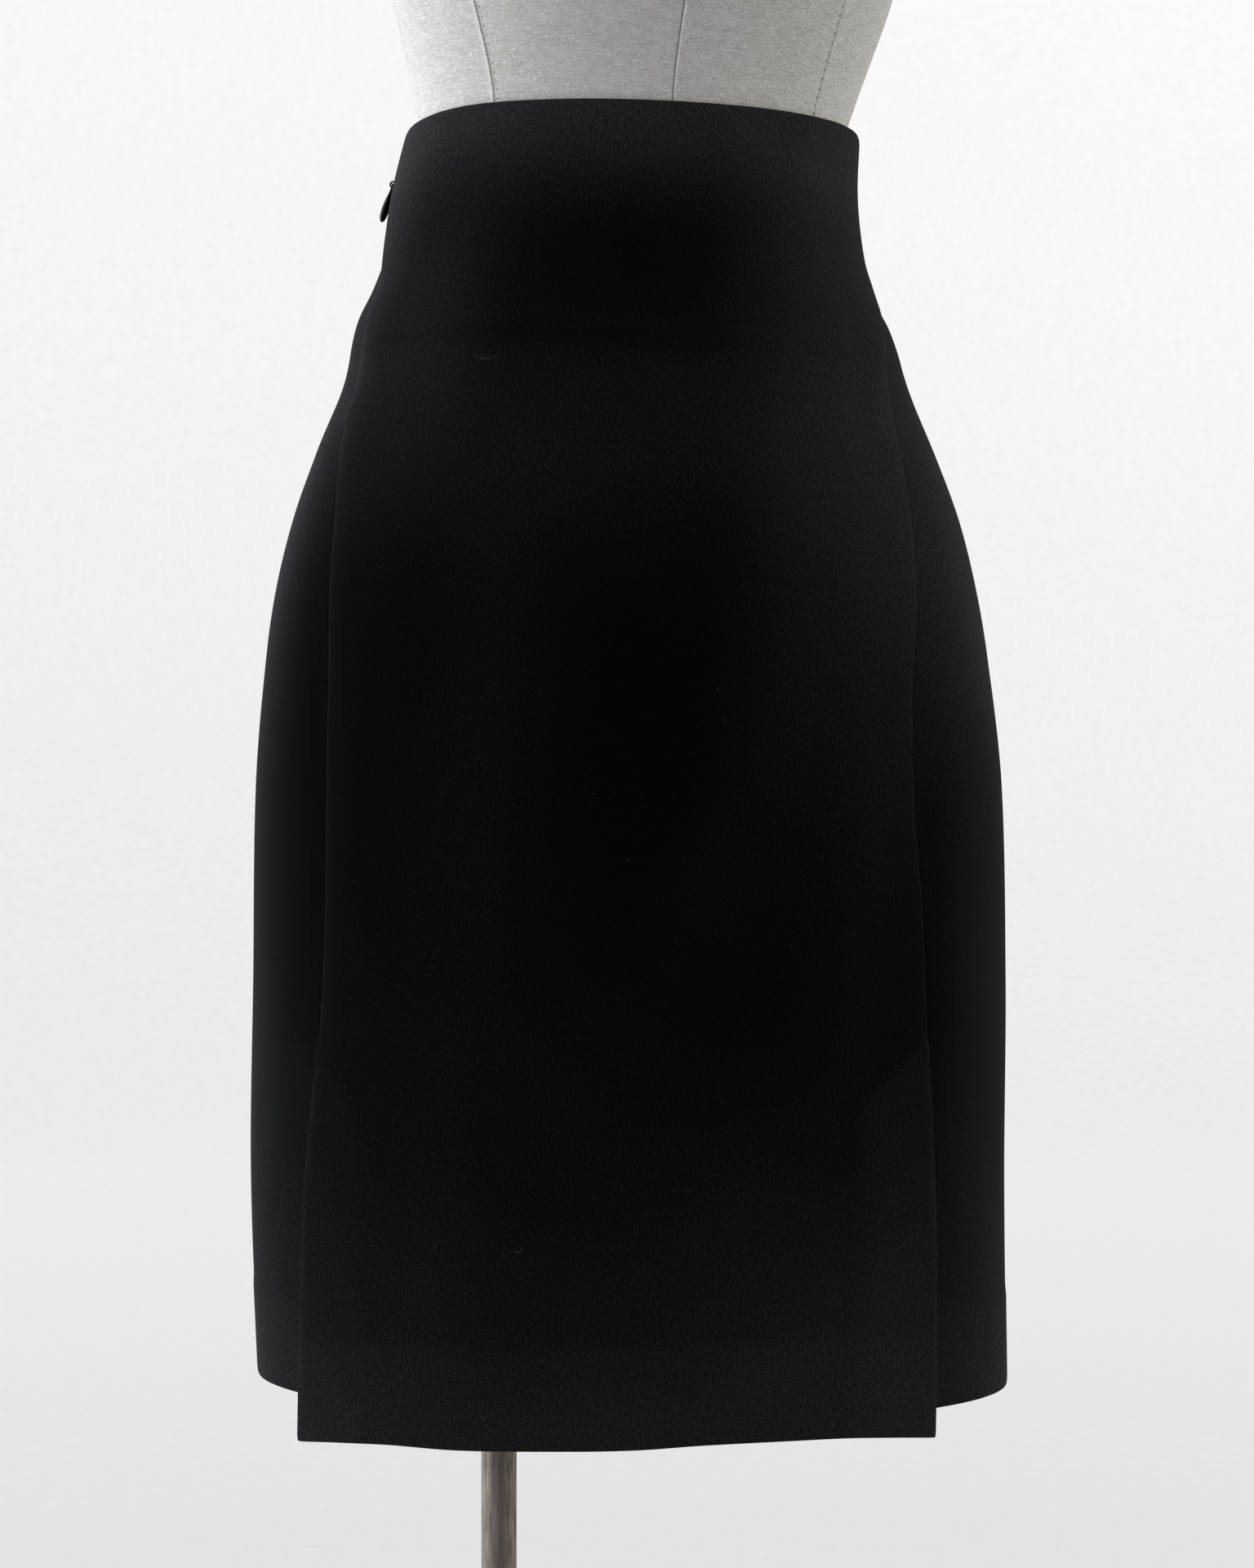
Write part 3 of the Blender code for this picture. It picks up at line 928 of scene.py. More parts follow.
@dataclass(frozen=True)
class Thread:
    """Spun sewing thread, twisted: a dry line with a slight lustre."""

    name: str
    colour: str
    roughness: float = 0.75

    def make(self) -> Material:
        """Build the material: a fine twist shades the thread.

        Returns:
            The material.
        """
        material, shade, finish = new_material(self.name)
        twist = shade.noise(shade.place(), 1800.0, 1.0)
        stops = [(0.35, linear(self.colour, 0.6)), (0.6, linear(self.colour))]
        finish({"Base Color": shade.ramp(twist, stops), "Roughness": self.roughness})
        return material


# Skirt panels

@dataclass(frozen=True)
class Crease:
    """A soft ridge or trough, placed on a panel.

    Its middle is at a height and an angle. It runs up and down, or at a lean, for a
    length, and fades sideways over a width. A depth below zero makes a trough.
    """

    height: float
    angle: float
    length: float
    width: float
    depth: float
    lean: float = 0.0

    def at(self, height: Array, angle: Array) -> Array:
        """Its share of the depth.

        Args:
            height: heights of the points.
            angle: their angles.

        Returns:
            The shares.
        """
        up = (height - self.height) / self.length
        across = (angle - self.angle - self.lean * up) / self.width
        return self.depth * np.exp(-(across**2) - up**2)


FRONT_CREASES = (
    Crease(505, -34, 120, 20, 1.1, 4),
    Crease(470, 24, 110, 26, 0.9, -3),
    Crease(560, 2, 150, 30, -0.8, 2),
    Crease(760, -28, 130, 24, 0.7, 5),
    Crease(700, 33, 150, 20, 0.8, -4),
    Crease(905, 38, 60, 16, -0.7, 14),
    Crease(880, -46, 70, 15, -0.6, -12),
    Crease(430, -8, 60, 22, -0.9, 0),
    Crease(1010, 30, 60, 26, 0.5, 10),
    Crease(985, -30, 70, 30, 0.5, -8),
    Crease(914, -68.5, 7, 2.4, 0.9),
    Crease(945, 74, 26, 18, 0.6),
)

BACK_CREASES = (
    Crease(800, 76, 110, 12, 0.5, 5),
    Crease(820, 284, 120, 12, 0.5, -5),
    Crease(560, 84, 140, 12, 0.5, 2),
    Crease(520, 277, 150, 12, 0.5, -2),
    Crease(560, 150, 150, 26, 1.2, 3),
    Crease(500, 212, 130, 24, 1.0, -4),
    Crease(890, 166, 60, 24, -0.9, 8),
    Crease(885, 195, 60, 22, -0.8, -10),
    Crease(450, 182, 90, 20, -1.0, 0),
    Crease(690, 120, 140, 20, 0.7, 4),
    Crease(700, 243, 140, 20, 0.7, -4),
    Crease(913, 290.5, 6, 2.0, 1.4),
    Crease(893, 276, 20, 14, -0.9),
    Crease(962, 280, 24, 18, 0.7),
    Crease(943, 80, 28, 16, 0.6),
    Crease(1003, 96, 22, 18, -0.6),
    Crease(1041, 262, 18, 14, -0.4),
)


# Patches of painted sheen or shade, lighter or darker than their neighbourhood, in shares of it
PAINTED_LIGHT_PATCHES = (
    Crease(745, -20, 190, 9, 0.09, 5),
    Crease(960, -50, 60, 14, 0.14, -8),
    Crease(930, 12, 36, 26, 0.07, 0),
    Crease(975, -50, 75, 20, 0.17, 0),
    Crease(995, 24, 60, 18, 0.10, 0),
    Crease(815, 84, 66, 22, 0.62, 0),
    Crease(840, -86, 75, 20, 0.26, 0),
    Crease(650, 61, 170, 12, 0.09, 0),
    Crease(500, -80, 130, 20, 0.17, 0),
    Crease(470, 76, 120, 20, 0.07, 0),
    Crease(445, 32, 70, 24, 0.19, 0),
    Crease(885, 4, 40, 30, 0.06, 0),
    Crease(800, 25, 120, 9, 0.12, 6),
    Crease(735, 38, 150, 9, 0.16, 5),
    Crease(690, 12, 60, 6, 0.04, 8),
    Crease(505, 20, 60, 16, 0.05, 0),
    Crease(470, -30, 70, 10, 0.06, 4),
    Crease(560, -6, 50, 12, 0.04, -6),
    Crease(760, 150, 160, 16, 0.12, 4),
    Crease(720, -148, 170, 15, 0.11, -5),
    Crease(900, 172, 50, 26, 0.08, 0),
)


@dataclass(frozen=True)
class PaintedLightShares:
    """Painted sheen for each part of the skirt and its reach in millimetres; facing_shadow is painted
    shade.
    """

    top: float = 0.90
    top_reach: float = 37.0
    hem: float = 0.42
    hem_reach: float = 85.0
    turned_hem: float = 0.09
    hips: float = 0.14
    hips_height: float = 898.0
    hips_reach: float = 55.0
    sides_fall_from: float = 880.0
    sides_reach: float = 125.0
    right_side: float = 0.62
    right_below: float = 0.34
    left_side: float = 0.36
    left_everywhere: float = 0.10
    facing_shadow: float = 0.05
    left_vent: float = 0.05
    right_vent: float = 0.16
    vent_edge: float = 0.22
    vent_edge_reach: float = 2.5
    seam_edge: float = 0.05
    seam_edge_reach: float = 1.4


PAINTED_LIGHT_SHARES = PaintedLightShares()


@dataclass
class SkirtPanel:
    """One cut panel of the skirt: a wall of cloth with rolled seams and turned edges."""

    name: str
    node: str
    columns: int
    rows: int
    limits: Callable[[Array], tuple[Array, Array]]
    hem: Callable[[Array], Array]
    stands: Callable[[Array, Array], Array]
    creases: Sequence[Crease]
    is_front: bool
    wall: float = 1.5
    seam_roll: float = 0.9
    seam_roll_width: float = 1.4
    hollow: float = 1.0
    hollow_width: float = 10.0
    hem_allowance: float = 48.0
    facing_depth: float = 119.0
    facing_top: float = 594.5
    facing_slopes: tuple[float, float] = (1.35, 0.83)
    lap_width: float = 40.0
    allowance_width: float = 15.0
    allowance_thick: float = 1.2
    dart_angle: float = 32.0
    dart_width: float = 1.0
    dart_end: float = 925.0
    hem_step: float = 0.45
    hem_ridge: float = 0.15
    hem_roll: float = 0.5
    hem_roll_width: float = 1.2
    facing_step: float = 0.30
    top_roll: float = 0.7
    top_roll_width: float = 1.3
    vent_step: float = 0.45
    dart_depth: float = 0.7
    turned_up: float = 0.7
    allowance_top: float = 940.0
    rim_bulge: float = 0.55
    vent_bulge: float = 0.45
    seam_bulge: float = 0.10
    flat: tuple[float, float] = field(default=(0.0, 0.0), init=False)
    area: float = field(default=0.0, init=False)

    def shares(self) -> Array:
        """Place the columns across the panel, closer together at its edges.

        Returns:
            Their places, from 0 to 1.
        """
        near = np.array((0.0, 0.35, 0.8, 1.4, 2.2, 3.2, 4.6, 6.5, 9.0)) / 330.0
        middle = np.linspace(12.0 / 330.0, 1 - 12.0 / 330.0, self.columns)
        return np.concatenate((near, middle, 1 - near[::-1]))

    def drops(self) -> Array:
        """Place the rows down the panel, closer together at the top and the hem.

        Returns:
            Their places, from 0 to 1.
        """
        near = np.array((0.0, 0.5, 1.2, 2.2, 3.6, 5.5)) / 680.0
        middle = np.linspace(8.0 / 680.0, 1 - 8.0 / 680.0, self.rows)
        return np.concatenate((near, middle, 1 - near[::-1]))

    def grid(self) -> tuple[Array, Array]:
        """Place the panel's points.

        Returns:
            Their heights and angles.
        """
        share, drop = np.meshgrid(self.shares(), self.drops())
        hem_level = float(self.hem(np.array(0.0)))
        height = EDGES.top + (hem_level - EDGES.top) * drop
        for _ in range(3):
            start, end = self.limits(height)
            angle = start + share * (end - start)
            top, bottom = EDGES.top_height(angle), self.hem(angle)
            height = top + (bottom - top) * drop
        return height, angle

    def relief(self, height: Array, angle: Array, edge: Array) -> Array:
        """How far seams, turnings and creases move the cloth out, in millimetres.

        Args:
            height: heights of the points.
            angle: their angles.
            edge: their distance from the nearer side edge.

        Returns:
            The outward moves.
        """
        sewn = self.sewn(height)
        out = -self.seam_roll * np.exp(-edge / self.seam_roll_width) * sewn
        out -= self.hollow * bell(edge, self.hollow_width) * sewn * ease((1075 - height) / 60)
        above_hem = height - self.hem(angle)
        hem_ease = ease((self.hem_allowance + 4 - above_hem) / 8)
        out += self.hem_step * hem_ease + self.hem_ridge * bell(above_hem - self.hem_allowance, 4.0)
        out -= self.hem_roll * np.exp(-above_hem / self.hem_roll_width)
        below_top = EDGES.top_height(angle) - height
        wave = 3.0 * np.sin(np.radians(angle * 2.3 + 20)) + 1.6 * np.sin(np.radians(angle * 5.1))
        out += self.facing_step * ease((self.facing_depth + wave - below_top) / 8)
        out += self.facing_step * bell(below_top - self.facing_depth - wave, 5.0)
        out -= self.top_roll * np.exp(-below_top / self.top_roll_width)
        if self.is_front:
            below_stitches = ease((self.facing_line(angle, edge) - height) / 4)
            out += self.vent_step * below_stitches * ease((self.lap_width + 8 - edge) / 16)
        else:
            for side in (-1, 1):
                across = (angle - 180 - side * self.dart_angle) / self.dart_width
                out -= self.dart_depth * np.exp(-(across**2)) * ease((height - self.dart_end) / 60)
        for crease in self.creases:
            out += crease.at(height, angle)
        return out

    def sewn(self, height: Array) -> Array:
        """1 where the side seams are sewn, fading to 0 below the vent tops."""
        return ease((height - EDGES.vent_top + 2) / 6)

    def facing_line(self, angle: Array, edge: Array) -> Array:
        """Where the stitches along the top of the vent facings run.

        Args:
            angle: angles of the points, positive on the wearer's left.
            edge: their distance from the nearer side edge.

        Returns:
            The heights.
        """
        is_left = np.sin(np.radians(angle)) > 0.0
        return self.facing_top - np.where(is_left, self.facing_slopes[1], self.facing_slopes[0]) * edge

    def painted_light(self, height: Array, angle: Array, edge: Array) -> Array:
        """How much painted sheen and highlight the cloth gets, from 0 to 1.

        The middle is left dark. The turned and faced edges, the hips, the sides
        and the vent edges are painted lighter, and a band below the facing gets painted shade.

        Args:
            height: heights of the points.
            angle: their angles.
            edge: their distance from the nearer side edge.

        Returns:
            The shares.
        """
        turn = (angle + 180.0) % 360.0 - 180.0
        below_top = EDGES.top_height(angle) - height
        above_hem = height - self.hem(angle)
        # Painted sheen along the top edge, the turned hem and the hips.
        shows = PAINTED_LIGHT_SHARES.top * bell(below_top, PAINTED_LIGHT_SHARES.top_reach)
        shows += PAINTED_LIGHT_SHARES.hem * np.exp(-above_hem / PAINTED_LIGHT_SHARES.hem_reach)
        shows += PAINTED_LIGHT_SHARES.turned_hem * ease((self.hem_allowance + 4 - above_hem) / 8)
        shows += PAINTED_LIGHT_SHARES.hips * bell(height - PAINTED_LIGHT_SHARES.hips_height, PAINTED_LIGHT_SHARES.hips_reach)
        below_hips = height - PAINTED_LIGHT_SHARES.sides_fall_from
        falls = np.where(below_hips < 0.0, bell(below_hips, PAINTED_LIGHT_SHARES.sides_reach), 1.0)
        # Painted sheen on the right and left sides.
        right = ease((turn - 8.0) / 44.0) * ease((170.0 - turn) / 60.0)
        left = ease((-turn - 56.0) / 24.0) * ease((170.0 + turn) / 60.0)
        shows += PAINTED_LIGHT_SHARES.right_side * right * falls + PAINTED_LIGHT_SHARES.left_side * left * falls
        right_below = ease((turn - 48.0) / 30.0) * ease((150.0 - turn) / 40.0) * (1 - falls)
        left_behind = ease((-turn - 60.0) / 20.0) * ease((150.0 + turn) / 40.0)
        shows += PAINTED_LIGHT_SHARES.right_below * right_below + PAINTED_LIGHT_SHARES.left_everywhere * left_behind
        for patch in PAINTED_LIGHT_PATCHES:
            shows += patch.at(height, turn)
        # Painted shade just below the facing's edge.
        turned = below_top - self.facing_depth - 3.0 * np.sin(np.radians(turn * 2.3 + 20))
        shows -= PAINTED_LIGHT_SHARES.facing_shadow * bell(turned - 3.0, 4.0) * ease((100.0 - np.abs(turn)) / 40.0)
        # Painted highlight on the vent facings, the free vent edges and the seam edges.
        if self.is_front:
            vent = ease((self.facing_line(turn, edge) - height) / 4.0)
            vent = vent * ease((self.lap_width + 12 - edge) / 24.0)
            free = ease((EDGES.vent_top - height) / 30.0)
            shows += np.where(turn > 0.0, PAINTED_LIGHT_SHARES.right_vent, PAINTED_LIGHT_SHARES.left_vent) * vent
            shows += PAINTED_LIGHT_SHARES.vent_edge * free * bell(edge, PAINTED_LIGHT_SHARES.vent_edge_reach)
            shows += PAINTED_LIGHT_SHARES.seam_edge * (1 - free) * bell(edge, PAINTED_LIGHT_SHARES.seam_edge_reach)
        return np.clip(shows, 0.0, 1.0)

    def on_cloth(self, height: float, angle: float, edge: float) -> tuple[Array, ...]:
        """A point on the panel's outer side, with the directions there.

        Args:
            height: its height.
            angle: its angle.
            edge: its distance from the nearer side edge.

        Returns:
            The point and the along, upward and outward directions.
        """
        at = np.array([height]), np.array([angle])
        along, upward, outward, _ = SKIRT.directions(*at)
        out = self.stands(*at) + self.relief(*at, np.array([edge]))
        point = SKIRT.points(*at) + outward * out[..., None]
        return point[0], along[0], upward[0], outward[0]

    def build(self, material: Material) -> Piece:
        """Build the panel's wall and set it on its solid.

        Args:
            material: the cloth's finish.

        Returns:
            The panel.
        """
        height, angle = self.grid()
        surface = SKIRT.points(height, angle)
        outward = SKIRT.directions(height, angle)[2]
        steps = np.linalg.norm(np.diff(surface, axis=1), axis=-1)
        from_left = np.concatenate((np.zeros((len(height), 1)), np.cumsum(steps, axis=1)), axis=1)
        width = from_left[:, -1:]
        edge = np.minimum(from_left, width - from_left)
        out = self.stands(height, angle) + self.relief(height, angle, edge)
        outer = surface + outward * out[..., None]
        above_hem = height - self.hem(angle)
        turned_up = self.turned_up * ease((self.hem_allowance + 2 - above_hem) / 4)
        pressed = self.sewn(height) * ease((self.allowance_top - height) / 40.0)
        allowance = self.allowance_thick * pressed * ease((self.allowance_width - edge) / 3.0)
        inner = outer - outward * (self.wall + turned_up + allowance)[..., None]
        free, rim = self.vent_bulge - self.seam_bulge, np.array(self.rim_bulge)
        left, right = [self.vent_bulge - free * self.sewn(height[:, place]) for place in (0, -1)]
        points, faces = closed_shell(outer, inner, (rim, right, rim, left[::-1]))
        down = np.linalg.norm(np.diff(surface, axis=0), axis=-1)
        v = np.concatenate((np.zeros((1, height.shape[1])), np.cumsum(down, axis=0)), axis=0)
        uv = np.stack((from_left - width / 2, -v), axis=-1).reshape(-1, 2) * MM
        # Share of painted sheen and shade at each point, kept on the mesh.
        painted_light = self.painted_light(height, angle, edge).reshape(-1)
        painted_light = for_shell(painted_light, points, float(painted_light.mean()))
        panel = write_mesh(self.name, points, faces, for_shell(uv, points), painted_light=painted_light)
        self.flat = (float(width.max()) * MM, float(v[-1].max()) * MM)
        cells = steps[:-1] * (down[:, :-1] + down[:, 1:]) / 2
        self.area = min(float(cells.sum()) * MM * MM, self.flat[0] * self.flat[1])
        seat(panel, material, self.node)
        LOG.info("%s: cut %.3f x %.3f m, area %.3f m2", self.name, *self.flat, self.area)
        return panel


def front_limits(height: Array) -> tuple[Array, Array]:
    """Angles of the front panel's edges.

    Args:
        height: heights on them.

    Returns:
        The left and the right angles.
    """
    limits = []
    for side in (Side.LEFT, Side.RIGHT):
        seam = EDGES.seam(height, side)
        speed = SKIRT.directions(height, seam)[3]
        draw = EDGES.vent_draws_in[side is Side.RIGHT] * EDGES.vent_share(height)
        limits.append(seam - side.value * (EDGES.seam_gap(height) / 2 + draw) / speed)
    return limits[0], limits[1]


def back_limits(height: Array) -> tuple[Array, Array]:
    """Angles of the back panel's edges, from the right seam round the back.

    Args:
        height: heights on them.

    Returns:
        The first and the last angles.
    """
    below = np.maximum(EDGES.vent_top - EDGES.vent_step - height, 0.0)
    lap = np.minimum(below, EDGES.underlap)
    limits = []
    for side in (Side.RIGHT, Side.LEFT):
        seam = EDGES.seam(height, side)
        speed = SKIRT.directions(height, seam)[3]
        limits.append(seam + side.value * (EDGES.seam_gap(height) / 2 - lap) / speed)
    return limits[0], limits[1] % 360.0


def front_stands(height: Array, angle: Array) -> Array:
    """How far the front panel's free part stands out beside the vents.

    Args:
        height: heights of the points.
        angle: their angles.

    Returns:
        The outward moves.
    """
    seam = np.where(angle > 0, EDGES.seam(height, Side.RIGHT), -EDGES.seam(height, Side.LEFT))
    share = ease(1.15 * np.abs(angle) / seam - 0.15)
    return EDGES.front_stands_out * EDGES.vent_share(height) * share


def back_stands(height: Array, angle: Array) -> Array:
    """How far the back panel tucks in under the front, below the vent tops.

    Args:
        height: heights of the points.
        angle: their angles.

    Returns:
        The moves, below zero.
    """
    right = angle < 180
    from_front = np.where(right, angle, 360 - angle)
    seam = np.where(right, EDGES.seam(height, Side.RIGHT), -EDGES.seam(height, Side.LEFT))
    share = ease((EDGES.tuck_ends_at - from_front) / (EDGES.tuck_ends_at - seam))
    return -EDGES.side_tucks_in * EDGES.vent_share(height) ** 0.6 * share


@dataclass(frozen=True)
class Fibre:
    """One fibre of lint: its place, length, lean and curl."""

    height: float
    angle: float
    length: float
    lean: float
    curl: float


LINT = (
    Fibre(985, 48, 8.0, -40, 150),
    Fibre(938, -34, 15.0, -8, 70),
    Fibre(489, -15, 6.5, 25, 170),
    Fibre(490, -38, 4.0, -15, 90),
    Fibre(488, -27, 3.5, 75, 60),
    Fibre(420, 21, 4.0, 10, 140),
    Fibre(407, -20, 3.5, -50, 100),
    Fibre(767, 11.5, 1.6, 30, 40),
    Fibre(888, -4, 1.2, 80, 20),
    Fibre(752, 12.4, 1.0, -20, 30),
    Fibre(715, -4, 0.9, 0, 20),
    Fibre(682, 0, 1.0, 45, 20),
    Fibre(1046, -22, 1.3, 15, 40),
    Fibre(1032, 4, 1.1, 70, 30),
    Fibre(640, 22, 1.2, -60, 60),
    Fibre(835, 28, 2.4, 40, 120),
)


@dataclass
class Skirt:
    """The skirt: its two panels and its sewing."""

    front_columns: int = 120
    back_columns: int = 150
    rows: int = 190
    lint_radius: float = 0.075
    pick_step: float = 3.6
    pick_length: float = 1.7
    pick_radius: float = 0.18

    def pick_stitches(self, panel: SkirtPanel, thread: Material) -> Piece:
        """Sew the facings down by hand: a slanting row of stitches at each vent's top.

        Args:
            panel: the front panel.
            thread: the thread's finish.

        Returns:
            All stitches as one piece.
        """
        parts = []
        for side in (Side.LEFT, Side.RIGHT):
            edge = 2.5
            while edge < panel.lap_width:
                height = float(panel.facing_line(side.value, edge))
                seam = float(EDGES.seam(np.array(height), side))
                speed = float(SKIRT.directions(np.array(height), np.array(seam))[3])
                angle = seam - side.value * edge / speed
                point, along, upward, outward = panel.on_cloth(height, angle, edge)
                way = unit(-side.value * along - upward * panel.facing_slopes[side.value > 0])
                half = way * self.pick_length / 2
                path = (point - half - outward * 0.1, point + outward * 0.1, point + half - outward * 0.1)
                parts.append(tube(np.array(path), np.array((0.5, 1.0, 0.5)) * self.pick_radius, 6))
                edge += self.pick_step
        stitches = write_mesh("vent_pick_stitches", *join_parts(parts))
        return seat(stitches, thread)

    def lint(self, panel: SkirtPanel, fibre: Material) -> Piece:
        """Lay a few short fibres on the cloth, as lint does on black wool.

        Args:
            panel: the front panel.
            fibre: their finish.

        Returns:
            All fibres as one piece.
        """
        parts = []
        for row in LINT:
            point, along, upward, outward = panel.on_cloth(row.height, row.angle, 60.0)
            path = [point + outward * 0.1]
            for step in range(12):
                turn = math.radians(row.lean + row.curl * (step / 11 - 0.5))
                way = along * math.cos(turn) + upward * math.sin(turn)
                path.append(path[-1] + way * row.length / 12)
            thin = np.interp(np.arange(13), (0, 6, 12), (0.5, 1.0, 0.4)) * self.lint_radius
            parts.append(tube(np.array(path), thin, 5))
        return seat(write_mesh("wool_lint", *join_parts(parts)), fibre)

    def build(self) -> list[Piece]:
        """Build the panels and the stitches.

        Returns:
            The pieces.
        """
        wool = WoolCrepe().make()
        front = SkirtPanel(
            "front_cloth", "front_panel", self.front_columns, self.rows,
            front_limits, EDGES.front_hem_height, front_stands, FRONT_CREASES, True,
            hollow=0.7, hollow_width=7.0,
        )
        back = SkirtPanel(
            "back_cloth", "back_panel", self.back_columns, self.rows,
            back_limits, EDGES.back_hem_height, back_stands, BACK_CREASES, False,
            hollow=2.6, hollow_width=17.0,
        )
        pieces = [front.build(wool), back.build(wool)]
        thread = Thread("black_silk_thread", "#151516").make()
        pieces.append(self.pick_stitches(front, thread))
        pieces.append(self.lint(front, Thread("pale_wool_lint", "#62615E").make()))
        return pieces


# Dress form

@dataclass(frozen=True)
class FormSeam:
    """A sewn line on the form's cover.

    It has an angle at the waist, at the bust and at the neck. The lips are how far
    the cloth stands up at its left and right, and the stitches lie beside it.
    """

    waist: float
    bust: float
    neck: float
    left_lip: float
    right_lip: float
    groove: float
    stitches_at: float
    pale: bool = False


FORM_SEAMS = (
    # Seams marked True get near-white, thicker stitches: real stitches that also paint the highlight on
    # the seam's lip.
    FormSeam(2.2, 4.4, 0.0, 0.05, 0.85, 0.60, 0.95, True),
    FormSeam(46.2, 44.6, 62.0, 0.05, 0.25, 0.22, -0.3),
    FormSeam(94.0, 92.0, 90.0, 0.30, 0.20, 0.60, 1.6),
    FormSeam(136.0, 138.0, 122.0, 0.25, 0.25, 0.60, 1.4),
    FormSeam(180.0, 180.0, 180.0, 0.05, 0.70, 0.60, 0.95, True),
    FormSeam(224.0, 222.0, 238.0, 0.25, 0.25, 0.60, -1.4),
    FormSeam(266.0, 268.0, 270.0, 0.20, 0.30, 0.60, -1.6),
    FormSeam(314.8, 304.8, 298.0, 0.75, 0.02, 0.15, 1.6),
)


@dataclass
class DressForm:
    """The linen-covered body of the form, with its sewn panels and their stitches."""

    fine: int = 720
    between: int = 7
    middle_columns: int = 14
    waist_height: float = 1066.0
    bust_height: float = 1207.0
    neck_height: float = 1446.0
    near: tuple[float, ...] = (0.0, 0.35, 0.7, 1.1, 1.6, 2.6, 5.0)
    stitch_step: float = 4.5
    stitch_length: float = 1.5
    stitch_radius: float = 0.26
    stitch_top: float = 1485.0
    stitch_bottom: float = 1055.0
    stitch_lifts: tuple[float, float] = (0.12, 0.5)
    stitch_ends_sink: float = 0.27
    # Sizes of the near-white stitches, which also paint the seam's highlight.
    pale_thicker: float = 1.4
    pale_apart: float = 1.35

    def body(self) -> Array:
        """Shape the bare body.

        Returns:
            Its points: rows from the neck down, at even angles.
        """
        angles = np.arange(self.fine) * 360.0 / self.fine
        rows = []
        for ring in reversed(FORM_RINGS):
            low = Ring(ring.height - 1, *[getattr(ring, c) for c in RingStack.COLUMNS])
            rows.append(RingStack((low, ring)).points(np.array(ring.height), angles))
        for row in reversed(FORM_INSIDE):
            height = np.full(angles.shape, row.height)
            outward = SKIRT.directions(height, angles)[2]
            ring = SKIRT.points(height, angles) - outward * row.clearance
            ring[:, 2] = row.height
            rows.append(ring)
        rows = np.array(rows)
        knots = np.arange(len(rows), dtype=float)
        at = np.linspace(0, len(rows) - 1, (len(rows) - 1) * self.between + 1)
        return hermite(knots, rows, at)

    def seam_angles(self, height: Array) -> Array:
        """Angles of the seams.

        Args:
            height: the heights to read.

        Returns:
            One column of angles for each seam.
        """
        knots = (self.waist_height, self.bust_height, self.neck_height)
        columns = [hermite(knots, (s.waist, s.bust, s.neck), height) for s in FORM_SEAMS]
        return np.stack(columns, axis=-1)

    def at_angles(self, body: Array, angles: Array) -> Array:
        """Points of the body's rows at any angles.

        Args:
            body: rows of points at even angles.
            angles: a row of angles for each row.

        Returns:
            The points.
        """
        place = (angles % 360.0) * self.fine / 360.0
        low = np.floor(place).astype(int) % self.fine
        share = (place - np.floor(place))[..., None]
        rows = np.arange(len(body))[:, None]
        return body[rows, low] * (1 - share) + body[rows, (low + 1) % self.fine] * share

    def columns(self, body: Array) -> tuple[Array, Array, Array]:
        """Angles of all columns, their seam's number and distance from it.

        Args:
            body: rows of points at even angles.

        Returns:
            Angles, numbers of the nearest seam and signed distances in millimetres.
        """
        seams = self.seam_angles(body[:, 0, 2])
        middle = body.mean(axis=1, keepdims=True)
        radius = np.linalg.norm(body - middle, axis=-1).mean(axis=1)
        speed = radius * math.pi / 180.0
        angles, numbers, distances = [], [], []
        count = len(FORM_SEAMS)
        for number in range(count):
            after = (number + 1) % count
            span = (seams[:, after] - seams[:, number]) % 360.0
            for distance in self.near:
                angles.append(seams[:, number] + distance / speed)
                numbers.append(number)
                distances.append(np.full(len(body), distance))
            edge = self.near[-1] / speed
            for step in range(1, self.middle_columns + 1):
                share = step / (self.middle_columns + 1)
                offset = edge + share * (span - 2 * edge)
                angles.append(seams[:, number] + offset)
                nearer = share < 0.5
                numbers.append(number if nearer else after)
                distances.append(offset * speed if nearer else (offset - span) * speed)
            for distance in reversed(self.near[1:]):
                angles.append(seams[:, after] - distance / speed)
                numbers.append(after)
                distances.append(np.full(len(body), -distance))
        return np.stack(angles, axis=1), np.array(numbers), np.stack(distances, axis=1)

    def relief(self, numbers: Array, distances: Array) -> Array:
        """Sink the seams between two lips of different height.

        Args:
            numbers: the nearest seam of each column.
            distances: signed distances from it.

        Returns:
            The outward moves.
        """
        names = ("left_lip", "right_lip", "groove")
        left, right, groove = [np.array([getattr(FORM_SEAMS[n], name) for n in numbers]) for name in names]
        away = np.abs(distances)
        out = -groove * bell(away, 0.45)
        out += np.where(distances > 0, right, left) * bell(away - 0.95, 0.7)
        return out + 0.10 * bell(away - 4.0, 3.0)

    def surface(self) -> Array:
        """Shape the cover.

        Returns:
            Rows of its points.
        """
        body = self.body()
        angles, numbers, distances = self.columns(body)
        grid = self.at_angles(body, angles)
        around = np.roll(grid, -1, axis=1) - np.roll(grid, 1, axis=1)
        outward = unit(np.cross(np.gradient(grid, axis=0), around))
        return grid + outward * self.relief(numbers, distances)[..., None]

    def build(self, material: Material) -> Piece:
        """Build the cover as one closed mesh.

        Args:
            material: the linen.

        Returns:
            The cover.
        """
        grid = self.surface()
        total, count, _ = grid.shape
        steps = np.linalg.norm(np.roll(grid, -1, axis=1) - grid, axis=-1)
        u = np.cumsum(steps, axis=1) - steps
        fall = np.linalg.norm(np.diff(grid, axis=0), axis=-1)
        v = np.concatenate((np.zeros((1, count)), np.cumsum(fall, axis=0)), axis=0)
        uv = np.stack((u, -np.broadcast_to(v.mean(axis=1, keepdims=True), v.shape)), axis=-1)
        points, faces = grid.reshape(-1, 3), skin(total, count)
        cover = write_mesh("form_cover", points, faces, uv.reshape(-1, 2) * MM, sharp=60.0)
        return seat(cover, material, "form_body")

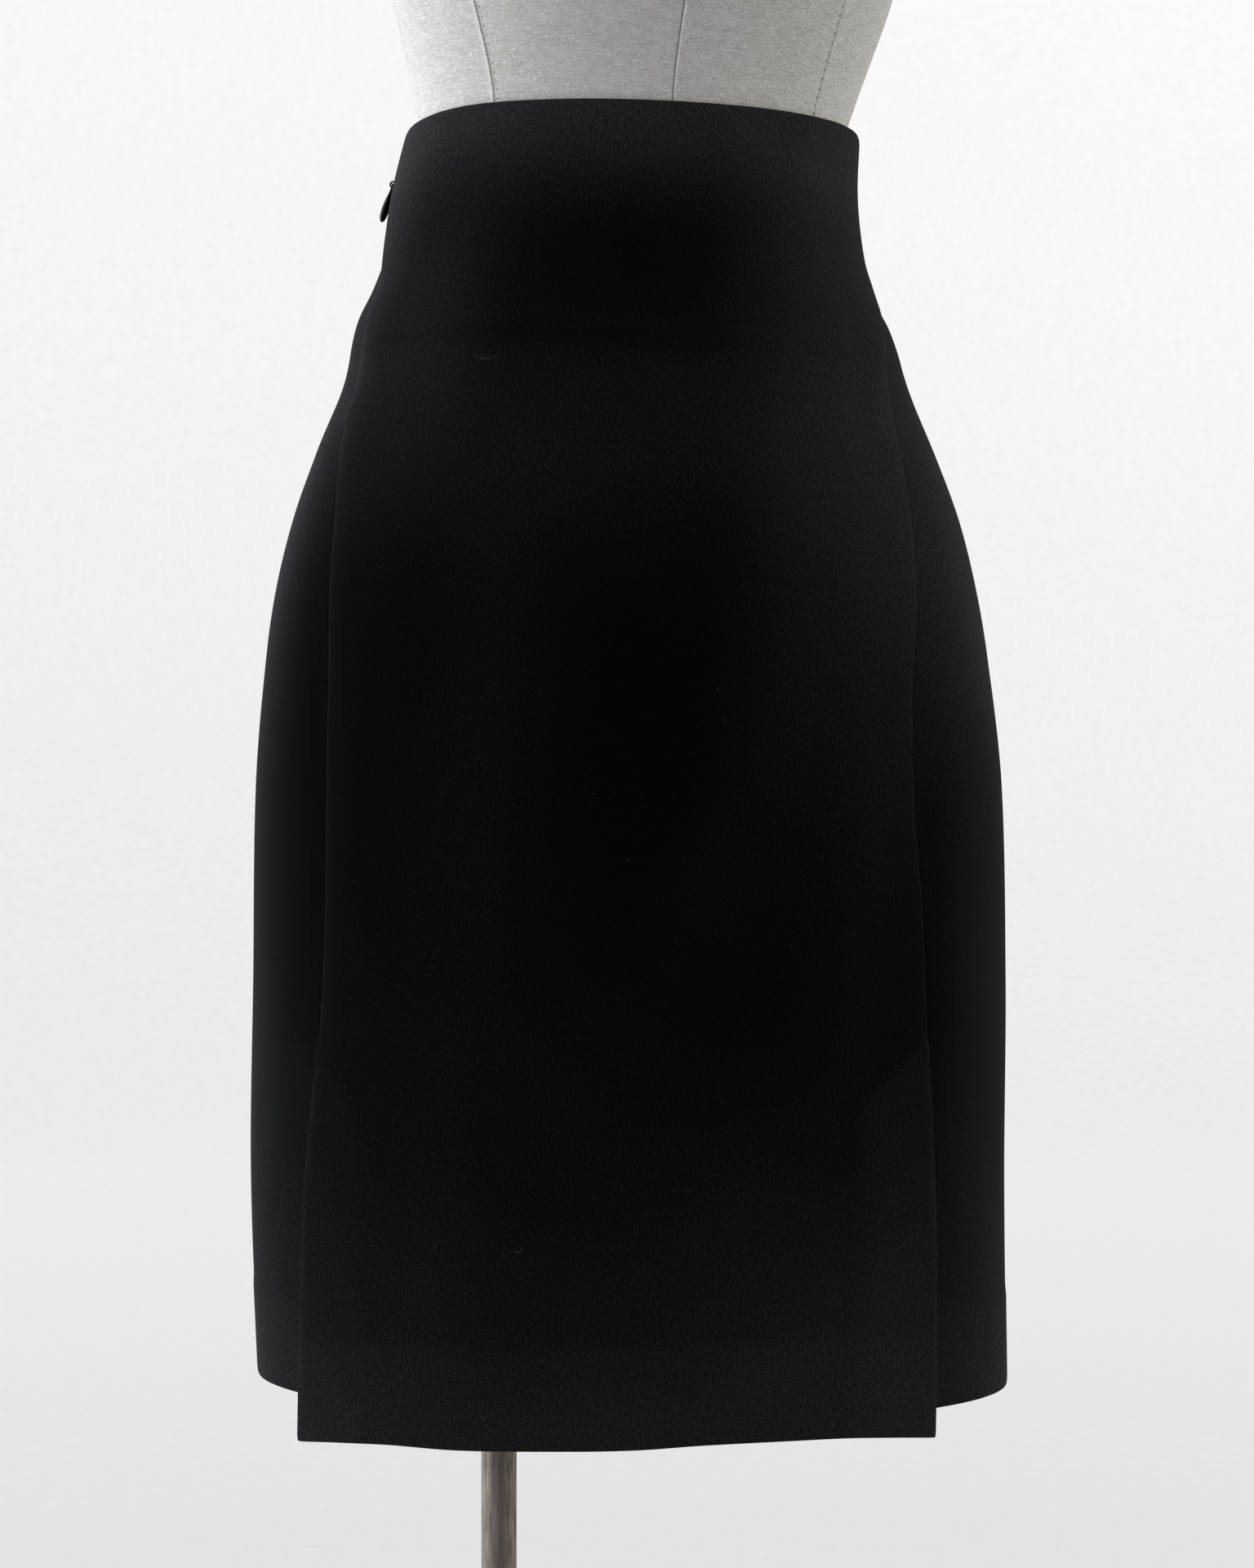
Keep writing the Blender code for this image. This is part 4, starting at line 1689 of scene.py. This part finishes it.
    def stitch(self, name: str, pale: bool, material: Material) -> Piece:
        """Sew the cover's seams with short stitches.

        Args:
            name: the piece's name.
            pale: sew the seams with pale thread, or the others.
            material: the thread.

        Returns:
            All stitches as one piece.
        """
        body = self.body()
        heights = body[:, 0, 2]
        parts = []
        for number, seam in enumerate(FORM_SEAMS):
            if seam.pale is not pale:
                continue
            height = self.stitch_top
            while height > self.stitch_bottom:
                uneven = 0.35 * math.sin(height * 1.7 + number * 2.0)
                ends = []
                for share in (-0.5, 0.0, 0.5):
                    at = height + uneven + share * self.stitch_length
                    row = float(np.interp(-at, -heights, np.arange(len(heights))))
                    low = min(int(row), len(body) - 2)
                    rows = body[low : low + 2]
                    ring = rows[0] + (rows[1] - rows[0]) * (row - low)
                    angle = self.seam_angles(np.array(at))[number]
                    radius = np.linalg.norm(ring - ring.mean(axis=0), axis=-1).mean()
                    angle = angle + seam.stitches_at / (radius * math.pi / 180.0)
                    angle = angle + 0.10 * math.sin(height * 3.1)
                    point = self.at_angles(ring[None], np.array([[angle]]))[0, 0]
                    beside = self.at_angles(ring[None], np.array([[angle + 0.5]]))[0, 0]
                    along = unit(beside - point)
                    outward = np.array((along[1], -along[0], 0.0))
                    lift = self.stitch_lifts[pale] - (self.stitch_ends_sink if share else 0.0)
                    ends.append(point + outward * lift)
                thick = self.stitch_radius * (self.pale_thicker if pale else 1.0)
                parts.append(tube(ends, np.array((0.5, 1.0, 0.5)) * thick, 5))
                height -= self.stitch_step * (self.pale_apart if pale else 1.0)
        return seat(write_mesh(name, *join_parts(parts)), material)


# Stand

@dataclass(frozen=True)
class TurnedPart:
    """A turned piece: its profile runs down the outer side, from top to bottom."""

    name: str
    node: str
    slot: str
    profile: tuple[tuple[float, float], ...]
    bottom: float
    hollow: bool
    steps: int = 128

    def build(self, material: Material) -> Piece:
        """Turn the profile about the pole's middle line.

        Args:
            material: the piece's finish.

        Returns:
            The piece.
        """
        turns = np.linspace(0, math.tau, self.steps, endpoint=False)
        points = [
            (radius * math.cos(turn), radius * math.sin(turn), height + self.bottom)
            for radius, height in self.profile
            for turn in turns
        ]
        faces = skin(len(self.profile), self.steps, ends=not self.hollow, wraps=self.hollow)
        piece = write_mesh(self.name, np.array(points), faces, sharp=35.0)
        return seat(piece, material, self.node)


def soft_corner(radius: float, height: float, soft: float, start: float, end: float) -> list:
    """Round a small corner of a profile.

    Args:
        radius: how far out its centre is.
        height: how high its centre is.
        soft: its own radius.
        start: its first angle in degrees.
        end: its last angle.

    Returns:
        The points.
    """
    steps = 5
    turns = [math.radians(start + (end - start) * i / steps) for i in range(steps + 1)]
    return [(radius + soft * math.cos(a), height + soft * math.sin(a)) for a in turns]


@dataclass
class Stand:
    """Pole, collar, socket and base."""

    pole_radius: float = 9.5
    pole_bottom: float = 10.3
    underside: float = 736.7
    collar_radius: float = 34.0
    collar_height: float = 15.0
    socket_radius: float = 24.0
    socket_height: float = 34.0
    base_radius: float = 190.0
    base_height: float = 10.0
    base_edge: float = 4.0

    def build(self) -> list[Piece]:
        """Build the turned pieces.

        Returns:
            The pieces.
        """
        steel = TurnedMetal("satin_turned_steel", "#8C857F", 0.76, 0.9, 0.05).make()
        enamel = SatinEnamel().make()
        bore = self.pole_radius + 0.3
        length = self.underside - self.pole_bottom
        soft = 0.6
        pole = (
            *soft_corner(self.pole_radius - soft, length - soft, soft, 90, 0),
            *soft_corner(self.pole_radius - soft, soft, soft, 0, -90),
        )
        high = self.collar_height
        collar = (
            *soft_corner(self.collar_radius - 1.0, high - 1.0, 1.0, 90, 0),
            *soft_corner(self.collar_radius - 1.5, high * 0.6, 1.5, 0, -60),
            (self.collar_radius - 6.0, high * 0.44),
            (bore + 6.0, high * 0.32),
            (bore + 4.4, high * 0.22),
            *soft_corner(bore + 3.4, 0.6, 0.6, 0, -90),
            (bore, 0.0),
            (bore, high),
        )
        top = self.socket_height
        socket = (
            (bore, top),
            *soft_corner(bore + 3.2, top - 0.8, 0.8, 90, 0),
            (bore + 4.0, 14.0),
            (bore + 5.2, 10.0),
            (bore + 8.5, 6.8),
            *soft_corner(self.socket_radius - 2.5, 2.5, 2.5, 75, 0),
            (self.socket_radius, 0.0),
            (bore, 0.0),
        )
        centre = self.base_radius - self.base_edge
        base = (
            (12.0, self.base_height),
            *soft_corner(centre, self.base_height - self.base_edge, self.base_edge, 90, 0),
            *soft_corner(self.base_radius - 1.0, 1.0, 1.0, 0, -90),
            (12.0, 0.0),
        )
        parts = (
            TurnedPart("pole_tube", "pole", "satin_steel", pole, self.pole_bottom, False),
            TurnedPart(
                "collar_ring", "form_collar", "satin_steel", collar,
                self.underside - self.collar_height, True,
            ),
            TurnedPart("socket_ring", "base_socket", "satin_steel", socket, self.pole_bottom, True),
        )
        pieces = [part.build(steel) for part in parts]
        plate = TurnedPart("base_disc", "base_plate", "base_enamel", base, 0.0, False, 192)
        return [*pieces, plate.build(enamel)]


# Zip

def ring_of_wire(radius: float, wire: float, count: int, sides: int) -> Shape:
    """Closed ring of round wire that stands on edge, in the plane across X.

    Args:
        radius: from the ring's centre to the wire's middle.
        wire: the wire's radius.
        count: steps round the ring.
        sides: corners of the wire.

    Returns:
        Points and faces.
    """
    round_turn, wire_turn = np.meshgrid(
        np.arange(count) * math.tau / count, np.arange(sides) * math.tau / sides, indexing="ij"
    )
    reach = radius + wire * np.cos(wire_turn)
    grid = np.stack(
        (wire * np.sin(wire_turn), reach * np.cos(round_turn), reach * np.sin(round_turn)), axis=-1
    )
    return grid.reshape(-1, 3), skin(count, sides, ends=False, wraps=True, flip=True)


@dataclass(frozen=True)
class Section:
    """One ellipse down the pull: its drop below the bar and its half sizes."""

    below: float
    half_width: float
    half_thick: float


PULL_SECTIONS = (
    Section(2.2, 0.90, 0.22),
    Section(2.35, 1.45, 0.42),
    Section(2.8, 1.68, 0.60),
    Section(4.2, 1.72, 0.80),
    Section(6.0, 1.88, 1.10),
    Section(8.0, 2.20, 1.50),
    Section(11.5, 2.70, 1.85),
    Section(14.5, 2.90, 2.05),
    Section(17.0, 2.75, 1.90),
    Section(19.4, 2.20, 1.45),
    Section(20.6, 1.30, 0.80),
    Section(21.0, 0.45, 0.25),
)


@dataclass
class Zip:
    """The invisible zip: slider with its loop, pull drop on its fork, and woven tape."""

    slider_height: float = 1041.0
    slider_size: tuple[float, float, float] = (4.6, 8.0, 1.2)
    slider_soft: float = 0.4
    slider_corner: float = 1.1
    stands_off: float = 0.3
    loop_radius: float = 1.45
    ring_radius: float = 1.60
    ring_wire: float = 0.50
    loop_up: float = 1.0
    loop_sunk: float = 0.2
    pull_leans: float = 6.0
    pull_bar: float = 0.42
    prong_at: float = 1.25
    prong_half: float = 0.45
    pull_turns: int = 32
    tape_end: float = 914.0
    tape_width: float = 24.0
    tape_thick: float = 0.6
    tape_depth: float = 2.8
    tape_top_gap: float = 2.0
    tape_rows: int = 60
    tape_columns: int = 13

    def slider_frame(self) -> Matrix:
        """Place the slider.

        Returns:
            Its frame: X along the ring, Y up the seam, Z out of the cloth.
        """
        height = np.array(self.slider_height)
        angle = EDGES.seam(height, Side.LEFT)
        along, _, outward, _ = SKIRT.directions(height, angle)
        place = SKIRT.points(height, angle) + outward * self.stands_off
        turn = Matrix((along, np.cross(outward, along), outward)).transposed()
        return Matrix.Translation(place) @ turn.to_4x4()

    def loop_centre(self) -> Vector:
        """Centre of the slider's loop in the slider's frame."""
        return Vector((0.0, self.loop_up, self.slider_size[2] + self.loop_radius - self.loop_sunk))

    def placed(self, parts: Sequence[Shape], frame: Matrix) -> Shape:
        """Join parts and set them in a frame.

        Args:
            parts: their points and faces.
            frame: the frame.

        Returns:
            All points and all faces.
        """
        points, faces = join_parts(parts)
        return points @ np.array(frame.to_3x3()).T + np.array(frame.translation), faces

    def plate(self) -> Shape:
        """Shape the slider's body: a plate with round corners and soft edges, narrower below.

        Returns:
            Points and faces.
        """
        wide, long, thick = self.slider_size
        soft, corner = self.slider_soft, self.slider_corner
        levels = (
            (soft, 0.0),
            (soft * 0.3, soft * 0.3),
            (0.0, soft),
            (0.0, thick - soft),
            (soft * 0.3, thick - soft * 0.3),
            (soft, thick),
        )
        rings = []
        for inset, rise in levels:
            ring = []
            for quarter in range(4):
                sign_x = 1 if quarter in (0, 3) else -1
                sign_y = 1 if quarter in (0, 1) else -1
                for step in range(7):
                    turn = math.radians(90 * quarter + 15 * step)
                    x = sign_x * (wide / 2 - corner) + (corner - inset) * math.cos(turn)
                    y = sign_y * (long / 2 - corner) + (corner - inset) * math.sin(turn)
                    narrow = 1.0 - 0.16 * (0.5 - y / long)
                    ring.append((x * narrow, y, rise))
            rings.append(ring)
        rows = np.array(rings)[::-1]
        return rows.reshape(-1, 3), skin(*rows.shape[:2])

    def pull_parts(self) -> list[Shape]:
        """Shape the pull in its own frame: a drop, two prongs and the bar that they hold.

        Returns:
            Points and faces of each part.
        """
        turns = np.arange(self.pull_turns) * math.tau / self.pull_turns
        knots = [section.below for section in PULL_SECTIONS]
        sizes = [(section.half_width, section.half_thick) for section in PULL_SECTIONS]
        stretches = ((2.2, 3.0, 7), (3.4, 19.2, 26), (19.5, 21.0, 8))
        below = np.concatenate([np.linspace(*stretch) for stretch in stretches])
        at = hermite(knots, np.array(sizes), below)
        down = np.broadcast_to(-below[:, None], (len(below), len(turns)))
        rows = np.stack((at[:, :1] * np.cos(turns), down, at[:, 1:] * np.sin(turns)), axis=-1)
        parts = [(rows.reshape(-1, 3), skin(*rows.shape[:2]))]
        for side in (-1, 1):
            path = [(side * self.prong_at, y, 0.0) for y in (0.42, 0.30, 0.05, -0.8, -1.8, -3.0, -4.6)]
            radii = np.array((0.45, 0.85, 1.0, 1.0, 1.0, 1.0, 0.9)) * self.prong_half
            parts.append(tube(np.array(path), radii, 14))
        reach = self.prong_at + self.prong_half + 0.15
        bar = [(x, 0.0, 0.0) for x in (-reach, -reach + 0.12, reach - 0.12, reach)]
        radii = np.array((0.75, 1.0, 1.0, 0.75)) * self.pull_bar
        parts.append(tube(np.array(bar), radii, 14))
        return parts

    def tape(self, material: Material) -> Piece:
        """Weave the tape behind the seam, as a thin wall of cloth.

        Args:
            material: its finish.

        Returns:
            The tape.
        """
        first = EDGES.seam(np.array(EDGES.top), Side.LEFT)
        start = float(EDGES.top_height(first)) - self.tape_top_gap
        height = np.linspace(start, self.tape_end, self.tape_rows)[:, None]
        across = np.linspace(-0.5, 0.5, self.tape_columns)[None, :] * self.tape_width
        seam = EDGES.seam(height, Side.LEFT)
        angle = seam + across / SKIRT.directions(height, seam)[3]
        height = np.broadcast_to(height, angle.shape)
        outward = SKIRT.directions(height, angle)[2]
        outer = SKIRT.points(height, angle) - outward * self.tape_depth
        inner = outer - outward * self.tape_thick
        bulge = (np.array(0.12),) * 4
        points, faces = closed_shell(outer, inner, bulge)
        uv = np.stack((np.broadcast_to(across, angle.shape), height), axis=-1).reshape(-1, 2) * MM
        tape = write_mesh("woven_zip_tape", points, faces, for_shell(uv, points))
        seat(tape, material, "zip_tape")
        return tape

    def build(self) -> list[Piece]:
        """Build the slider, the pull and the tape.

        Returns:
            The pieces.
        """
        metal = TurnedMetal("dark_nickel_plate", "#28282A", 0.42, 0.6, 0.02).make()
        frame = self.slider_frame()
        loop, loop_faces = ring_of_wire(self.ring_radius, self.ring_wire, 40, 14)
        loop = loop + np.array(self.loop_centre())
        leans = Matrix.Rotation(math.radians(-self.pull_leans), 4, "X")
        pull_frame = frame @ Matrix.Translation(self.loop_centre()) @ leans
        slider = self.placed([self.plate(), (loop, loop_faces)], frame)
        pull = self.placed(self.pull_parts(), pull_frame)
        return [
            seat(write_mesh("zip_slider_metal", *slider, sharp=50.0), metal, "zip_slider"),
            seat(write_mesh("zip_pull_drop", *pull, sharp=50.0), metal, "zip_pull", PULL_BODY),
            self.tape(Thread("black_polyester_tape", "#141415").make()),
        ]


# Studio

@dataclass(frozen=True)
class RoomTone:
    """Glow of the room at a distance walked from its middle, over the floor and up the wall."""

    walk: float
    colour: str


ROOM_TONES = (
    RoomTone(0.0, "#D0D0D0"),
    RoomTone(1.2, "#D2D2D2"),
    RoomTone(2.7, "#D8D8D8"),
    RoomTone(4.5, "#DCDCDC"),
    RoomTone(5.4, "#E2E2E2"),
    RoomTone(5.9, "#E6E6E6"),
    RoomTone(6.6, "#ECECEC"),
    RoomTone(7.5, "#F0F0F0"),
    RoomTone(10.0, "#F2F2F2"),
)


@dataclass(frozen=True)
class LightLobe:
    """Soft light from one side: its axis and sign, how narrow, how strong and its colour."""

    axis: str
    sign: float
    power: float
    strength: float
    colour: str


LIGHT_LOBES = (
    LightLobe("X", -1.0, 2.2, 3.00, "#FAFCFF"),
    LightLobe("X", 1.0, 4.5, 2.05, "#FFFBF8"),
    LightLobe("Z", 1.0, 2.0, 0.60, "#FFFFFF"),
    LightLobe("Y", 1.0, 1.0, 0.30, "#FFFFFF"),
)


@dataclass
class Studio:
    """Camera, soft light and a plain pale room without corners."""

    eye_distance: float = 1.6
    eye_height: float = 0.72
    lens: float = 68.2
    floor_radius: float = 2.6
    bend: float = 1.6
    room_radius: float = 5.6
    room_height: float = 5.0

    def camera(self) -> None:
        """Set the level camera in front of the skirt, at the photograph's distance."""
        data = bpy.data.cameras.new("camera")
        data.lens = self.lens
        data.sensor_width = 36.0
        data.clip_end = 60.0
        camera = bpy.data.objects.new("camera", data)
        camera.location = (SKIRT_AXIS_X * MM, -self.eye_distance, self.eye_height)
        camera.rotation_euler = (math.radians(90), 0.0, 0.0)
        bpy.context.scene.collection.objects.link(camera)
        bpy.context.scene.camera = camera

    def room(self) -> None:
        """Build the round pale room, whose floor bends up into the wall and glows softly."""
        steps, count = 16, 96
        flat = self.room_radius - self.bend
        profile = [(0.02, 0.0), (self.floor_radius, 0.0), (flat, 0.0)]
        for index in range(1, steps + 1):
            turn = math.radians(-90 + 90 * index / steps)
            profile.append((flat + self.bend * math.cos(turn), self.bend + self.bend * math.sin(turn)))
        profile.append((self.room_radius, self.room_height))
        points = [
            (radius * math.cos(turn) * 1000, radius * math.sin(turn) * 1000, height * 1000 - 0.3)
            for radius, height in profile
            for turn in np.linspace(0, math.tau, count, endpoint=False)
        ]
        faces = [*skin(len(profile), count, ends=False, flip=True), list(range(count))]
        walk = np.linalg.norm(np.diff(np.array(profile), axis=0), axis=1)
        walk = np.concatenate(([0.0], np.cumsum(walk)))
        around = np.arange(count) * math.tau * self.room_radius / count
        uv = np.stack((np.tile(around, len(profile)), np.repeat(walk, count)), axis=-1)
        room = write_mesh("room", np.array(points), faces, uv)
        material, shade, finish = new_material("pale_painted_plaster")
        whole = ROOM_TONES[-1].walk
        rise = shade.work_out("DIVIDE", shade.split(shade.cloth())["Y"], whole)
        tone = shade.ramp(rise, [(row.walk / whole, linear(row.colour)) for row in ROOM_TONES])
        uneven = shade.remap(shade.noise(shade.place(), 60.0, 5.0), To_Min=0.95, To_Max=1.05)
        scale = {"operation": "SCALE"}
        glow = add_node(shade.tree, "ShaderNodeVectorMath", scale, {0: tone, "Scale": uneven})
        finish({
            "Base Color": linear("#5C5C5C"),
            "Roughness": 0.95,
            "Emission Color": glow.outputs["Vector"],
            "Emission Strength": 1.0,
        })
        room.data.materials.append(material)
        room.visible_diffuse = False
        room.visible_glossy = False
        room.visible_shadow = False

    def sky(self) -> None:
        """Light softly from all round: strong from the left, weaker from the right, dim in front."""
        world = bpy.data.worlds.new("soft_studio_light")
        bpy.context.scene.world = world
        world.use_nodes = True
        shade = Shade(world.node_tree)
        split = shade.split(shade.place("Generated"))
        total = (0.06, 0.06, 0.06, 1.0)
        for lobe in LIGHT_LOBES:
            facing = shade.work_out("MULTIPLY", split[lobe.axis], lobe.sign, clamp=True)
            power = shade.work_out("POWER", facing, lobe.power)
            light = shade.mix_colours(power, (0, 0, 0, 1), linear(lobe.colour, lobe.strength))
            total = shade.mix_colours(1.0, total, light, "ADD")
        set_inputs(shade.tree, shade.tree.nodes["Background"], {"Color": total, "Strength": 1.0})

    def build(self) -> None:
        """Set up the camera, the room and the light."""
        self.camera()
        self.room()
        self.sky()
        bpy.context.scene.view_settings.view_transform = "Standard"
        LOG.info("studio ready")


def main() -> None:
    """Build every piece in order."""
    logging.basicConfig(level=logging.INFO, format="%(name)s: %(message)s")
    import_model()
    Studio().build()
    linen = SlubLinen().make()
    form = DressForm()
    form.build(linen)
    form.stitch("form_stitches", False, Thread("grey_linen_thread", "#7D7975").make())
    # Real stitches, near-white so that they also paint the centre seams' highlight.
    form.stitch("form_centre_stitches", True, Thread("pale_thread_and_painted_highlight", "#F2F0EC").make())
    Skirt().build()
    Stand().build()
    Zip().build()


if __name__ == "__main__":
    main()
